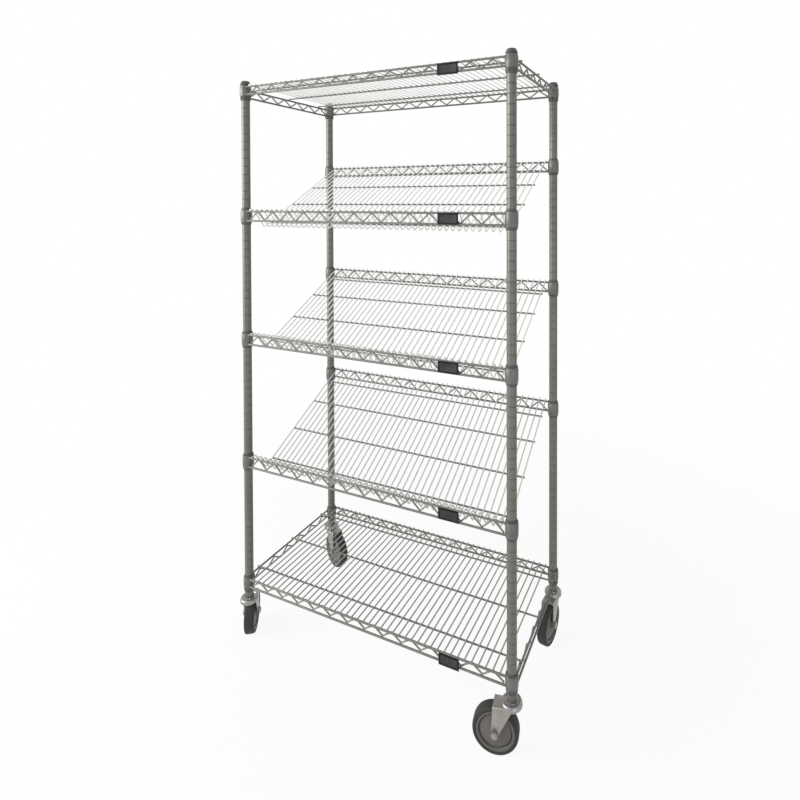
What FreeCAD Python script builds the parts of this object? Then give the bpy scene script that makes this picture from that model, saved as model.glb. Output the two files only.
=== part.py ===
import FreeCAD, Part
import Sketcher
import math
import os
from functools import partial

# Mobile bakery rack of welded wire shelves on four grooved posts, on swivel
# casters.  The top and bottom shelves lie level; the three between them slope
# down to the front and end in a hook that stops what lies on them.
#
# Frame: X runs left to right, Y runs front to back, Z points up.  The origin
# is on the floor, midway between the four post axes.  Lengths in millimetres.

SIZES = (
    ("post_spacing_x", 864, "post axes, left to right"),
    ("post_spacing_y", 406, "post axes, front to back"),
    ("post_dia", 25.4, "outside of a post"),
    ("post_wall", 1.2, "post tube wall"),
    ("post_above", 30, "post above the middle of its top collar"),
    ("post_below", 46, "post below the middle of its lowest collar"),
    ("groove_depth", 0.5, "ring groove that seats a sleeve"),
    ("groove_width", 2.2, "ring groove, top to bottom"),
    ("groove_past", 1, "tool that cuts a ring groove, outside the post"),
    ("shelf_step", 381, "from one front collar to the next"),
    ("rear_rise", 152.4, "rear collars of a sloping shelf above its front ones"),
    ("collar_wall", 1.3, "collar at its lower end, where its bore is widest"),
    ("collar_height", 38, "collar of a sloping shelf, top to bottom"),
    ("collar_shorter", 6, "foot of a level shelf's collar above that of a sloping shelf"),
    ("collar_edge", 1.2, "bevel of a collar's outer edges"),
    ("sleeve_top_wall", 1.6, "split sleeve at its upper end"),
    ("sleeve_foot_wall", 2.6, "split sleeve at its thickest"),
    ("sleeve_above", 4, "sleeve standing out above its collar"),
    ("sleeve_below", 7, "sleeve standing out below its collar"),
    ("sleeve_tip", 5, "height of the sleeve's narrowing lower end"),
    ("sleeve_tip_wall", 1, "split sleeve at its lower edge"),
    ("sleeve_split", 8, "degrees left open between two sleeve halves"),
    ("fit_gap", 0.1, "radial gap between parts that are pushed together"),
    ("run_gap", 0.05, "radial gap of a pin that turns in its hole"),
    ("side_gap", 0.3, "gap between faces that turn past each other"),
    ("rail_dia", 6, "truss rail wire"),
    ("rail_apart", 29, "upper rail above lower rail, sloping shelf"),
    ("rail_apart_level", 23, "upper rail above lower rail, level shelf"),
    ("rail_inset", 3.7, "middle of a rail inside the outer side of the posts"),
    ("side_drop", 5, "side rails below the front and rear ones"),
    ("zigzag_dia", 4.8, "bent wire between two rails, over its corners"),
    ("zigzag_short", 1.7, "end of a bent wire short of its collar"),
    ("zigzag_inside", 3, "corners of a bent wire inside the middles of its rails"),
    ("wire_flats", 3.6, "surface wire, across its flats"),
    ("mat_inset", 27, "outermost surface wires inside the post axes"),
    ("wire_overhang", 2, "surface wire past the middle of its rail"),
    ("cross_flats", 5, "cross wire, across its flats"),
    ("cross_inset", 48, "outer cross wire inside the post axes, level shelf"),
    ("cross_reach", 4, "cross wire past the last surface wire, sloping shelf"),
    ("cross_first", 30, "lowest cross wire behind the bend, sloping shelf"),
    ("cross_step", 101.6, "from one to the next of the lower cross wires, sloping shelf"),
    ("cross_last", 55, "highest cross wire in front of the rear rail, sloping shelf"),
    ("hook_in", 55, "bend of a sloping wire behind the front rail"),
    ("hook_down", 21.5, "bend of a sloping wire below the lower front rail"),
    ("hook_over", 12, "level end of a sloping wire, behind the front rail"),
    ("cap_top", 4, "cap above the end of its post"),
    ("cap_clear", 0.5, "cap above the top sleeve"),
    ("cap_taper", 2, "edge of the cap's top inside the post's outside"),
    ("cap_edge", 1, "bevel of the cap's upper edge"),
    ("cap_wall", 2.7, "cap at its lower edge"),
    ("plug_depth", 14, "cap stub inside the post"),
    ("insert_past", 4, "insert in the post foot above the end of the stem"),
    ("insert_sunk", 0.5, "insert above the foot of its post"),
    ("insert_edge", 0.8, "bevel of the insert's lower edge"),
    ("label_width", 58, "label plate, left to right"),
    ("label_height", 30, "label plate, top to bottom"),
    ("label_thick", 2.5, "label plate"),
    ("label_corner", 3, "label plate corner radius"),
    ("label_rim", 3, "raised rim round the label field"),
    ("label_field", 0.8, "depth of the label field"),
    ("label_right", 265, "middle of a label right of the rack's middle"),
    ("wheel_dia", 118, "caster wheel over its tyre"),
    ("tyre_width", 30, "tyre"),
    ("tyre_bevel", 4, "bevel of the tread's edges"),
    ("tyre_round", 1.2, "corner of that bevel inside the tyre's side and tread"),
    ("tyre_thick", 10, "tyre, tread to core"),
    ("tyre_lip", 1.5, "tyre past the rim of the core, each side"),
    ("rim_thick", 6, "rim of the wheel core"),
    ("groove_across", 3, "ring groove inside the rim, across"),
    ("groove_slant", 1, "slant of the walls of that ring groove"),
    ("groove_sunk", 5, "ring groove inside the rim, below the disc"),
    ("disc_sunk", 3.5, "raised disc of the core inside the tyre's side"),
    ("hub_dia", 26, "wheel hub"),
    ("hub_slant", 2, "slant from the hub to the raised disc"),
    ("trail", 40, "axle behind the swivel axis"),
    ("axle_dia", 10, "axle bolt"),
    ("axle_past", 1, "axle bolt past its nut and past its head"),
    ("hex_flats", 16, "bolt head and nut, across flats"),
    ("hex_thick", 6, "bolt head and nut"),
    ("leg_gap", 2, "between the tyre and a fork leg"),
    ("fork_plate", 3, "fork metal"),
    ("fork_bend", 4, "outer bend of the fork"),
    ("fork_clear", 4, "fork crown above the tyre"),
    ("fork_front", 4, "fork legs in front of the swivel axis"),
    ("fork_back", 6, "top of the fork legs behind the axle"),
    ("fork_eye", 18, "round end of a fork leg"),
    ("crown_dia", 46, "fork crown round the swivel axis"),
    ("bowl_dia", 39, "raised bearing bowl on the crown"),
    ("bowl_height", 4, "bearing bowl above the crown"),
    ("race_room", 4.5, "between the bowl and the bearing cover's wall"),
    ("race_wall", 2.5, "wall of the fixed bearing cover"),
    ("race_roof", 7.7, "bearing cover above the bowl"),
    ("race_edge", 3.5, "bevel of the bearing cover's upper edge"),
    ("kingpin_dia", 10, "pin that holds the fork"),
    ("kingpin_head_dia", 18, "rivet head under the crown"),
    ("kingpin_head", 3, "rivet head, top to bottom"),
    ("kingpin_edge", 1, "width of the bevel under the rivet head"),
    ("stem_dia", 12.7, "stem inside the post foot"),
    ("stem_length", 30, "stem above the bearing cover"),
    ("heading_fl", 125, "degrees, front left caster: swivel axis to axle"),
    ("heading_fr", 190, "degrees, front right caster"),
    ("heading_bl", 336, "degrees, rear left caster"),
    ("heading_br", 263, "degrees, rear right caster"),
)

SURFACE_WIRES = 43
FRONT_BEND_COUNT = 28
SIDE_BEND_COUNT = 12
LOWER_CROSS_WIRES = 3

# Places that several pieces share, as expressions on the sheet.
HALF_X = "sizes.post_spacing_x / 2"
HALF_Y = "sizes.post_spacing_y / 2"
POST_R = "sizes.post_dia / 2"
POST_BORE_R = "(sizes.post_dia / 2 - sizes.post_wall)"
SLEEVE_TOP_R = "(sizes.post_dia / 2 + sizes.fit_gap + sizes.sleeve_top_wall)"
SLEEVE_FOOT_R = "(sizes.post_dia / 2 + sizes.fit_gap + sizes.sleeve_foot_wall)"
COLLAR_R = f"({SLEEVE_FOOT_R} + sizes.fit_gap + sizes.collar_wall)"
RAIL_R = "sizes.rail_dia / 2"
RAIL_UP = "sizes.rail_apart / 2"
RAIL_Y = "(sizes.post_spacing_y / 2 + sizes.post_dia / 2 - sizes.rail_inset)"
RAIL_X = "(sizes.post_spacing_x / 2 + sizes.post_dia / 2 - sizes.rail_inset)"
ZIGZAG_R = "sizes.zigzag_dia / 2"
ZIGZAG_IN = "(sizes.rail_dia / 2 + sizes.zigzag_dia / 2 * cos(30))"
WIRE_R = "sizes.wire_flats / 2 / cos(30)"
CROSS_R = "sizes.cross_flats / 2 / cos(30)"
MAT_X = "(sizes.post_spacing_x / 2 - sizes.mat_inset)"
AXLE_Z = "sizes.wheel_dia / 2"
TYRE_SEAT_R = "(sizes.wheel_dia / 2 - sizes.tyre_thick)"
FORK_ROOM = "(sizes.tyre_width / 2 + sizes.leg_gap)"
FORK_HALF = "(sizes.tyre_width / 2 + sizes.leg_gap + sizes.fork_plate)"
CROWN_UNDER = "(sizes.wheel_dia + sizes.fork_clear)"
CROWN_TOP = "(sizes.wheel_dia + sizes.fork_clear + sizes.fork_plate)"
RACE_R = "(sizes.bowl_dia / 2 + sizes.race_room + sizes.race_wall)"
POST_BASE = f"({CROWN_TOP} + sizes.bowl_height + sizes.side_gap + sizes.race_roof)"
SHELF_BASE = f"({POST_BASE} + sizes.post_below)"
SLEEVE_TOP = "(sizes.collar_height / 2 + sizes.sleeve_above)"
SLEEVE_FOOT = "(sizes.collar_height / 2 + sizes.sleeve_below)"
SLEEVE_WIDE = f"({SLEEVE_FOOT} - sizes.sleeve_tip)"
SLEEVE_SLOPE = f"((sizes.sleeve_foot_wall - sizes.sleeve_top_wall) / ({SLEEVE_TOP} + {SLEEVE_WIDE}))"
POST_LENGTH = "(sizes.post_below + 4 * sizes.shelf_step + sizes.post_above)"
POST_TOP = f"({POST_BASE} + {POST_LENGTH})"

# The bend of a sloping wire, and the slope that lays the wire on the upper rear
# rail, measured from the middle of the shelf's front collars.
BEND_Y = f"({RAIL_Y} - sizes.hook_in)"
BEND_Z = f"({RAIL_UP} + sizes.hook_down)"
RUN = f"({RAIL_Y} + {BEND_Y})"
CLIMB = f"(sizes.rear_rise + {RAIL_UP} + {BEND_Z})"
WIRE_TO_RAIL = "(sizes.rail_dia / 2 + sizes.wire_flats / 2)"
SLOPE = (f"(atan({CLIMB} / {RUN}) + "
         f"asin({WIRE_TO_RAIL} / sqrt({RUN} * {RUN} + {CLIMB} * {CLIMB})))")

doc = FreeCAD.newDocument("bakery_rack")
sheet = doc.addObject("Spreadsheet::Sheet", "sizes")
for row, (alias, number, note) in enumerate(SIZES, start=1):
    sheet.set(f"A{row}", alias)
    sheet.set(f"B{row}", str(number))
    sheet.setAlias(f"B{row}", alias)
    sheet.set(f"C{row}", note)
doc.recompute()


# ---------------------------------------------------------------- helpers

def value(expression):
    """The number that an expression on the sheet stands for."""
    result = sheet.evalExpression(expression)
    return result.Value if hasattr(result, "Value") else float(result)


def piece(label):
    """An empty body that may hold several separate solids."""
    body = doc.addObject("PartDesign::Body", label)
    body.Label = label
    body.AllowCompound = True
    return body


def put(body, x=None, y=None, z=None, heading=None):
    """Place a body by expressions, turned about the vertical if asked."""
    body.Placement.Rotation = FreeCAD.Rotation(FreeCAD.Vector(0, 0, 1), 1)
    body.setExpression(".Placement.Rotation.Angle", heading or "0")
    for axis, place in (("x", x), ("y", y), ("z", z)):
        if place:
            body.setExpression(f".Placement.Base.{axis}", place)


def sketch_on(body, role, name, across=None, up=None, out=None):
    """A sketch on a plane of the body's origin, moved within it or off it."""
    sketch = body.newObject("Sketcher::SketchObject", name)
    planes = [item for item in body.Origin.OriginFeatures if item.Role == role]
    sketch.AttachmentSupport = [(planes[0], "")]
    sketch.MapMode = "FlatFace"
    for axis, place in (("x", across), ("y", up), ("z", out)):
        if place:
            sketch.setExpression(f".AttachmentOffset.Base.{axis}", place)
    return sketch


def drive(sketch, constraint, expression):
    """Add a dimension and bind it to the sheet."""
    index = sketch.addConstraint(constraint)
    sketch.setExpression(f".Constraints[{index}]", expression)


def pin(sketch, item, point, across, up):
    """Hold a point of a sketch at two expressions; "0" puts it on the axis."""
    if across == "0":
        sketch.addConstraint(Sketcher.Constraint("PointOnObject", item, point, -2))
    else:
        drive(sketch, Sketcher.Constraint("DistanceX", -1, 1, item, point, value(across)), across)
    if up == "0":
        sketch.addConstraint(Sketcher.Constraint("PointOnObject", item, point, -1))
    else:
        drive(sketch, Sketcher.Constraint("DistanceY", -1, 1, item, point, value(up)), up)


def circle(sketch, across, up, radius):
    """A circle at two expressions with a radius from a third."""
    centre = FreeCAD.Vector(value(across), value(up), 0)
    item = sketch.addGeometry(Part.Circle(centre, FreeCAD.Vector(0, 0, 1), value(radius)))
    pin(sketch, item, 3, across, up)
    drive(sketch, Sketcher.Constraint("Radius", item, value(radius)), radius)


def lines(sketch, corners, closed=True):
    """Straight lines from corner to corner, each corner two expressions."""
    places = [FreeCAD.Vector(value(across), value(up), 0) for across, up in corners]
    ends = places[1:] + places[:1] if closed else places[1:]
    items = [sketch.addGeometry(Part.LineSegment(start, end)) for start, end in zip(places, ends)]
    for item, follower in zip(items, items[1:]):
        sketch.addConstraint(Sketcher.Constraint("Coincident", item, 2, follower, 1))
    if closed:
        sketch.addConstraint(Sketcher.Constraint("Coincident", items[-1], 2, items[0], 1))
    for item, (across, up) in zip(items, corners):
        pin(sketch, item, 1, across, up)
    if not closed:
        pin(sketch, items[-1], 2, *corners[-1])
    return items


def hexagon(sketch, radius, across="0", up="0", flats_up=True):
    """A regular hexagon over its corners, with flats or corners at its top."""
    half = f"({radius} * 0.5)"
    tall = f"({radius} * cos(30))"
    if flats_up:
        steps = ((radius, None), (half, tall), (f"-{half}", tall),
                 (f"-({radius})", None), (f"-{half}", f"-{tall}"), (half, f"-{tall}"))
    else:
        steps = ((tall, half), (None, radius), (f"-{tall}", half),
                 (f"-{tall}", f"-{half}"), (None, f"-({radius})"), (tall, f"-{half}"))
    corners = []
    for step_across, step_up in steps:
        corners.append((offset(across, step_across), offset(up, step_up)))
    lines(sketch, corners)


def offset(place, step):
    """A place moved by a step, both expressions."""
    if step is None:
        return place
    return step if place == "0" else f"{place} + {step}"


def pad(body, sketch, name, length, both_ways=False, backwards=False):
    """Extrude a sketch by an expression."""
    feature = body.newObject("PartDesign::Pad", name)
    feature.Profile = sketch
    feature.setExpression(".Length", length)
    feature.Midplane = both_ways
    feature.Reversed = backwards
    return feature


def cut_through(body, sketch, name):
    """Cut a sketch right through the body, both ways."""
    feature = body.newObject("PartDesign::Pocket", name)
    feature.Profile = sketch
    feature.Type = "ThroughAll"
    feature.Midplane = True
    return feature


def turn(body, sketch, name, axis="V_Axis", angle=None):
    """Revolve a sketch about one of its axes, all round or by an expression."""
    feature = body.newObject("PartDesign::Revolution", name)
    feature.Profile = sketch
    feature.ReferenceAxis = (sketch, [axis])
    feature.Midplane = True
    feature.Angle = 360
    if angle:
        feature.setExpression(".Angle", angle)
    return feature


def repeat(body, features, name, sketch, axis, length, copies):
    """Copy features in a row along an axis of a sketch."""
    feature = body.newObject("PartDesign::LinearPattern", name)
    feature.Originals = features
    feature.Direction = (sketch, [axis])
    feature.setExpression(".Length", length)
    feature.Occurrences = copies
    body.Tip = feature
    return feature


def bent_wire(body, path, name, runs, radius, flats_up):
    """Sweep a six-sided section along the straight runs of a path."""
    doc.recompute()
    section = body.newObject("Sketcher::SketchObject", f"{name}_section")
    section.AttachmentSupport = [(path, "Edge1")]
    section.MapMode = "NormalToEdge"
    section.MapPathParameter = 0
    hexagon(section, radius, flats_up=flats_up)
    feature = body.newObject("PartDesign::AdditivePipe", name)
    feature.Profile = section
    feature.Spine = (path, [f"Edge{run + 1}" for run in range(runs)])
    feature.Transition = "Right corner"
    return feature


# ------------------------------------------------------ posts and their ends

def level_height(level):
    """Middle of the front collars of a shelf, counted from the lowest."""
    return f"({SHELF_BASE} + sizes.shelf_step * {level})"


def slopes(level):
    """The top and bottom shelves are level, the three between them slope."""
    return 0 < level < 4


def rail_low(level):
    """Lower rail of a shelf, from the middle of its groove."""
    return f"-{RAIL_UP}" if slopes(level) else f"({RAIL_UP} - sizes.rail_apart_level)"


def at_rear(height, level):
    """A height at the front of a shelf, moved to the shelf's rear."""
    return f"(sizes.rear_rise + {height})" if slopes(level) else height


def make_post(label, x, y, rear):
    """A tube with a ring groove for each of the five sleeves on it."""
    body = piece(label)
    ring = sketch_on(body, "XY_Plane", f"{label}_ring", out=POST_BASE)
    circle(ring, "0", "0", POST_R)
    circle(ring, "0", "0", POST_BORE_R)
    pad(body, ring, f"{label}_tube", POST_LENGTH)
    cuts = sketch_on(body, "XZ_Plane", f"{label}_grooves")
    inner = f"({POST_R} - sizes.groove_depth)"
    outer = f"({POST_R} + sizes.groove_past)"
    for level in range(5):
        middle = level_height(level)
        if rear:
            middle = at_rear(middle, level)
        low = f"({middle} - sizes.groove_width / 2)"
        high = f"({middle} + sizes.groove_width / 2)"
        lines(cuts, ((inner, low), (outer, low), (outer, high), (inner, high)))
    groove = body.newObject("PartDesign::Groove", f"{label}_seats")
    groove.Profile = cuts
    groove.ReferenceAxis = (cuts, ["V_Axis"])
    groove.Angle = 360
    put(body, x=x, y=y)
    return body


def turned_at_posts(label, draw, front_z, rear_z, angle=None):
    """Turn one profile about all four post axes."""
    body = piece(label)
    features = []
    for side, lift, height in (("front", HALF_Y, front_z), ("rear", f"-{HALF_Y}", rear_z)):
        sketch = sketch_on(body, "XZ_Plane", f"{label}_{side}_profile",
                           across=f"-{HALF_X}", up=height, out=lift)
        draw(sketch)
        features.append(turn(body, sketch, f"{label}_{side}", angle=angle))
    repeat(body, features, f"{label}_right", sketch, "H_Axis", "sizes.post_spacing_x", 2)
    return body


def cap_profile(sketch):
    """Plug inside the tube, sloping skirt outside it, closed top."""
    plug = f"({POST_BORE_R} - sizes.fit_gap)"
    skirt = f"({POST_R} + sizes.fit_gap)"
    edge = f"({SLEEVE_TOP} + sizes.cap_clear - sizes.post_above)"
    top = f"({POST_R} - sizes.cap_taper)"
    lines(sketch, (
        ("0", "-sizes.plug_depth"),
        (plug, "-sizes.plug_depth"),
        (plug, "0"),
        (skirt, "0"),
        (skirt, edge),
        (f"{skirt} + sizes.cap_wall", edge),
        (f"{top} + sizes.cap_edge", "sizes.cap_top - sizes.cap_edge"),
        (top, "sizes.cap_top"),
        ("0", "sizes.cap_top"),
    ))


def insert_profile(sketch):
    """Bushing pressed into the foot of the tube, bored for the stem."""
    outside = f"({POST_BORE_R} - sizes.fit_gap)"
    bore = "(sizes.stem_dia / 2 + sizes.fit_gap)"
    lines(sketch, (
        (bore, "sizes.insert_sunk"),
        (f"{outside} - sizes.insert_edge", "sizes.insert_sunk"),
        (outside, "sizes.insert_sunk + sizes.insert_edge"),
        (outside, "sizes.stem_length + sizes.insert_past"),
        (bore, "sizes.stem_length + sizes.insert_past"),
    ))


# --------------------------------------------------------- shelves and joints

def collar_profile(sketch, level):
    """Ring whose bore widens downwards to match the sleeve."""
    half = "sizes.collar_height / 2"
    foot = half if slopes(level) else f"({half} - sizes.collar_shorter)"
    bore_top = f"({SLEEVE_TOP_R} + sizes.fit_gap + {SLEEVE_SLOPE} * sizes.sleeve_above)"
    bore_foot = f"({SLEEVE_FOOT_R} + sizes.fit_gap - {SLEEVE_SLOPE} * ({SLEEVE_WIDE} - {foot}))"
    lines(sketch, (
        (bore_foot, f"-{foot}"),
        (f"{COLLAR_R} - sizes.collar_edge", f"-{foot}"),
        (COLLAR_R, f"-({foot} - sizes.collar_edge)"),
        (COLLAR_R, f"{half} - sizes.collar_edge"),
        (f"{COLLAR_R} - sizes.collar_edge", half),
        (bore_top, half),
    ))


def sleeve_profile(sketch):
    """Both halves of a tapered sleeve, each with the bead that fills a groove."""
    inside = f"({POST_R} + sizes.fit_gap)"
    tip = f"({inside} + sizes.sleeve_tip_wall)"
    bead = f"({POST_R} - sizes.groove_depth + sizes.fit_gap)"
    wide = "(sizes.groove_width / 2 - sizes.fit_gap)"
    for hand in ("", "-"):
        lines(sketch, (
            (f"{hand}{inside}", f"-{SLEEVE_FOOT}"),
            (f"{hand}{tip}", f"-{SLEEVE_FOOT}"),
            (f"{hand}{SLEEVE_FOOT_R}", f"-{SLEEVE_WIDE}"),
            (f"{hand}{SLEEVE_TOP_R}", SLEEVE_TOP),
            (f"{hand}{inside}", SLEEVE_TOP),
            (f"{hand}{inside}", wide),
            (f"{hand}{bead}", wide),
            (f"{hand}{bead}", f"-{wide}"),
            (f"{hand}{inside}", f"-{wide}"),
        ))


def cope_rails(body, label):
    """Cut rail ends to the round of the collars that they are welded to."""
    sketch = sketch_on(body, "XY_Plane", f"{label}_copes")
    for across in (f"-{HALF_X}", HALF_X):
        for along in (f"-{HALF_Y}", HALF_Y):
            circle(sketch, across, along, COLLAR_R)
    cut_through(body, sketch, f"{label}_ends")


def make_rails(label, level, sides):
    """Upper and lower rails of the front and rear, and of the sides if asked."""
    body = piece(label)
    long_ends = sketch_on(body, "YZ_Plane", f"{label}_long_ends")
    heights = (rail_low(level), RAIL_UP)
    for height in heights:
        circle(long_ends, f"-{RAIL_Y}", height, RAIL_R)
        circle(long_ends, RAIL_Y, at_rear(height, level), RAIL_R)
    pad(body, long_ends, f"{label}_long", "sizes.post_spacing_x", both_ways=True)
    if sides:
        short_ends = sketch_on(body, "XZ_Plane", f"{label}_short_ends")
        for height in heights:
            for across in (f"-{RAIL_X}", RAIL_X):
                circle(short_ends, across, f"{height} - sizes.side_drop", RAIL_R)
        pad(body, short_ends, f"{label}_short", "sizes.post_spacing_y", both_ways=True)
    cope_rails(body, label)
    put(body, z=level_height(level))
    return body


def zigzag_corners(reach, bends, low):
    """Corners of a bent wire that starts and ends at the lower rail."""
    corners = []
    for bend in range(bends + 1):
        share = bend / bends - 0.5
        across = "0" if share == 0 else f"{reach} * {share:.10f}"
        corners.append((across, f"{low} + sizes.zigzag_inside" if bend % 2 == 0
                        else f"{RAIL_UP} - sizes.zigzag_inside"))
    return corners


def make_zigzags(label, level, sides):
    """The bent wires inside the rails, one for each pair of rails."""
    body = piece(label)
    places = [("front", "XZ_Plane", None, f"{RAIL_Y} - {ZIGZAG_IN}"),
              ("rear", "XZ_Plane", "sizes.rear_rise" if slopes(level) else None,
               f"-({RAIL_Y} - {ZIGZAG_IN})")]
    if sides:
        places.append(("left", "YZ_Plane", "-sizes.side_drop", f"-({RAIL_X} - {ZIGZAG_IN})"))
        places.append(("right", "YZ_Plane", "-sizes.side_drop", f"{RAIL_X} - {ZIGZAG_IN}"))
    for place, plane, up, out in places:
        long = place in ("front", "rear")
        spacing = "sizes.post_spacing_x" if long else "sizes.post_spacing_y"
        reach = f"({spacing} - 2 * {COLLAR_R} - 2 * sizes.zigzag_short)"
        bends = FRONT_BEND_COUNT if long else SIDE_BEND_COUNT
        path = sketch_on(body, plane, f"{label}_{place}_path", up=up, out=out)
        lines(path, zigzag_corners(reach, bends, rail_low(level)), closed=False)
        bent_wire(body, path, f"{label}_{place}", bends, ZIGZAG_R, flats_up=False)
    put(body, z=level_height(level))
    return body


def make_level_surface(label, level):
    """Straight wires lying on the upper rails, front to back."""
    body = piece(label)
    height = f"{RAIL_UP} + {RAIL_R} + sizes.wire_flats / 2"
    section = sketch_on(body, "XZ_Plane", f"{label}_section", across=f"-{MAT_X}", up=height)
    hexagon(section, WIRE_R)
    wire = pad(body, section, f"{label}_wire", f"2 * ({RAIL_Y} + sizes.wire_overhang)", both_ways=True)
    repeat(body, [wire], f"{label}_wires", section, "H_Axis", f"2 * {MAT_X}", SURFACE_WIRES)
    put(body, z=level_height(level))
    return body


def make_sloping_surface(label, level):
    """Wires that lie on the rear truss, run down, and rise again onto the front one."""
    body = piece(label)
    path = sketch_on(body, "YZ_Plane", f"{label}_path", out=f"-{MAT_X}")
    end_y = f"({RAIL_Y} + sizes.wire_overhang)"
    front_z = f"{RAIL_UP} + {WIRE_TO_RAIL}"
    corners = (
        (end_y, f"({end_y} + {BEND_Y}) * tan({SLOPE}) - {BEND_Z}"),
        (f"-{BEND_Y}", f"-{BEND_Z}"),
        (f"-{RAIL_Y} + sizes.hook_over", front_z),
        (f"-{end_y}", front_z),
    )
    lines(path, corners, closed=False)
    wire = bent_wire(body, path, f"{label}_wire", len(corners) - 1, WIRE_R, flats_up=True)
    repeat(body, [wire], f"{label}_wires", path, "N_Axis", f"2 * {MAT_X}", SURFACE_WIRES)
    put(body, z=level_height(level))
    return body


def make_level_cross_wires(label, level):
    """Three wires across the shelf, resting on the side rails."""
    body = piece(label)
    height = f"{RAIL_UP} - sizes.side_drop + {RAIL_R} + sizes.cross_flats / 2"
    ends = sketch_on(body, "YZ_Plane", f"{label}_ends", up=height)
    reach = f"({HALF_Y} - sizes.cross_inset)"
    for along in (f"-{reach}", "0", reach):
        hexagon(ends, CROSS_R, across=along)
    pad(body, ends, f"{label}_wires", f"2 * ({RAIL_X} + {RAIL_R})", both_ways=True)
    put(body, z=level_height(level))
    return body


def make_sloping_cross_wires(label, level):
    """Wires welded across the underside of a sloping surface."""
    body = piece(label)
    ends = sketch_on(body, "YZ_Plane", f"{label}_ends", across=f"-{BEND_Y}", up=f"-{BEND_Z}")
    ends.setExpression(".AttachmentOffset.Rotation.Angle", SLOPE)
    below = "-(sizes.wire_flats / 2 + sizes.cross_flats / 2)"
    places = [f"sizes.cross_first + {wire} * sizes.cross_step" for wire in range(LOWER_CROSS_WIRES)]
    places.append(f"{RUN} - sizes.cross_last")
    for behind_bend in places:
        hexagon(ends, CROSS_R, across=f"(({behind_bend}) / cos({SLOPE}))", up=below)
    pad(body, ends, f"{label}_wires", f"2 * ({MAT_X} + sizes.cross_reach)", both_ways=True)
    put(body, z=level_height(level))
    return body


def make_labels(label):
    """A plate with a rim round a sunk field, on the front rails of each shelf."""
    body = piece(label)
    face = f"{RAIL_Y} + {RAIL_R}"
    outline = sketch_on(body, "XZ_Plane", f"{label}_outline",
                        across="sizes.label_right", up=SHELF_BASE, out=face)
    rounded_box(outline, "sizes.label_width / 2", "sizes.label_height / 2", "sizes.label_corner")
    plate = pad(body, outline, f"{label}_plate", "sizes.label_thick")
    field = sketch_on(body, "XZ_Plane", f"{label}_field", across="sizes.label_right",
                      up=SHELF_BASE, out=f"{face} + sizes.label_thick")
    wide = "(sizes.label_width / 2 - sizes.label_rim)"
    tall = "(sizes.label_height / 2 - sizes.label_rim)"
    lines(field, ((f"-{wide}", f"-{tall}"), (wide, f"-{tall}"), (wide, tall), (f"-{wide}", tall)))
    sunk = body.newObject("PartDesign::Pocket", f"{label}_sunk")
    sunk.Profile = field
    sunk.setExpression(".Length", "sizes.label_field")
    repeat(body, [plate, sunk], f"{label}_all", outline, "V_Axis", "4 * sizes.shelf_step", 5)
    return body


def rounded_box(sketch, wide, tall, radius):
    """A box with round corners, centred on the sketch."""
    half_x, half_y, round_r = value(wide), value(tall), value(radius)
    quarter = math.pi / 2
    arcs = []
    for turns, (side_x, side_y) in enumerate(((1, 1), (-1, 1), (-1, -1), (1, -1))):
        middle = FreeCAD.Vector(side_x * (half_x - round_r), side_y * (half_y - round_r), 0)
        ring = Part.Circle(middle, FreeCAD.Vector(0, 0, 1), round_r)
        arcs.append(sketch.addGeometry(Part.ArcOfCircle(ring, turns * quarter, (turns + 1) * quarter)))
    inner_x, inner_y = f"({wide} - {radius})", f"({tall} - {radius})"
    signs = (("", ""), ("-", ""), ("-", "-"), ("", "-"))
    for arc, (sign_x, sign_y) in zip(arcs, signs):
        pin(sketch, arc, 3, f"{sign_x}{inner_x}", f"{sign_y}{inner_y}")
        drive(sketch, Sketcher.Constraint("Radius", arc, round_r), radius)
    for arc, follower in zip(arcs, arcs[1:] + arcs[:1]):
        start = sketch.getPoint(arc, 2)
        end = sketch.getPoint(follower, 1)
        side = sketch.addGeometry(Part.LineSegment(start, end))
        sketch.addConstraint(Sketcher.Constraint("Tangent", arc, 2, side, 1))
        sketch.addConstraint(Sketcher.Constraint("Tangent", side, 2, follower, 1))


# ------------------------------------------------------------------ casters

def make_stem(label):
    """Fixed bearing cover, the stem above it and the kingpin below it."""
    body = piece(label)
    profile = sketch_on(body, "XZ_Plane", f"{label}_profile")
    rim = RACE_R
    low = f"({CROWN_TOP} + sizes.side_gap)"
    roof = f"({CROWN_TOP} + sizes.bowl_height + sizes.side_gap)"
    head = f"({CROWN_UNDER} - sizes.side_gap)"
    lines(profile, (
        ("0", f"{head} - sizes.kingpin_head"),
        ("sizes.kingpin_head_dia / 2 - sizes.kingpin_edge", f"{head} - sizes.kingpin_head"),
        ("sizes.kingpin_head_dia / 2", f"{head} - sizes.kingpin_head / 2"),
        ("sizes.kingpin_head_dia / 2", head),
        ("sizes.kingpin_dia / 2", head),
        ("sizes.kingpin_dia / 2", roof),
        (f"{rim} - sizes.race_wall", roof),
        (f"{rim} - sizes.race_wall", low),
        (rim, low),
        (rim, f"{POST_BASE} - sizes.race_edge"),
        (f"{rim} - sizes.race_edge", POST_BASE),
        ("sizes.stem_dia / 2", POST_BASE),
        ("sizes.stem_dia / 2", f"{POST_BASE} + sizes.stem_length"),
        ("0", f"{POST_BASE} + sizes.stem_length"),
    ))
    turn(body, profile, f"{label}_turned")
    return body


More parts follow.
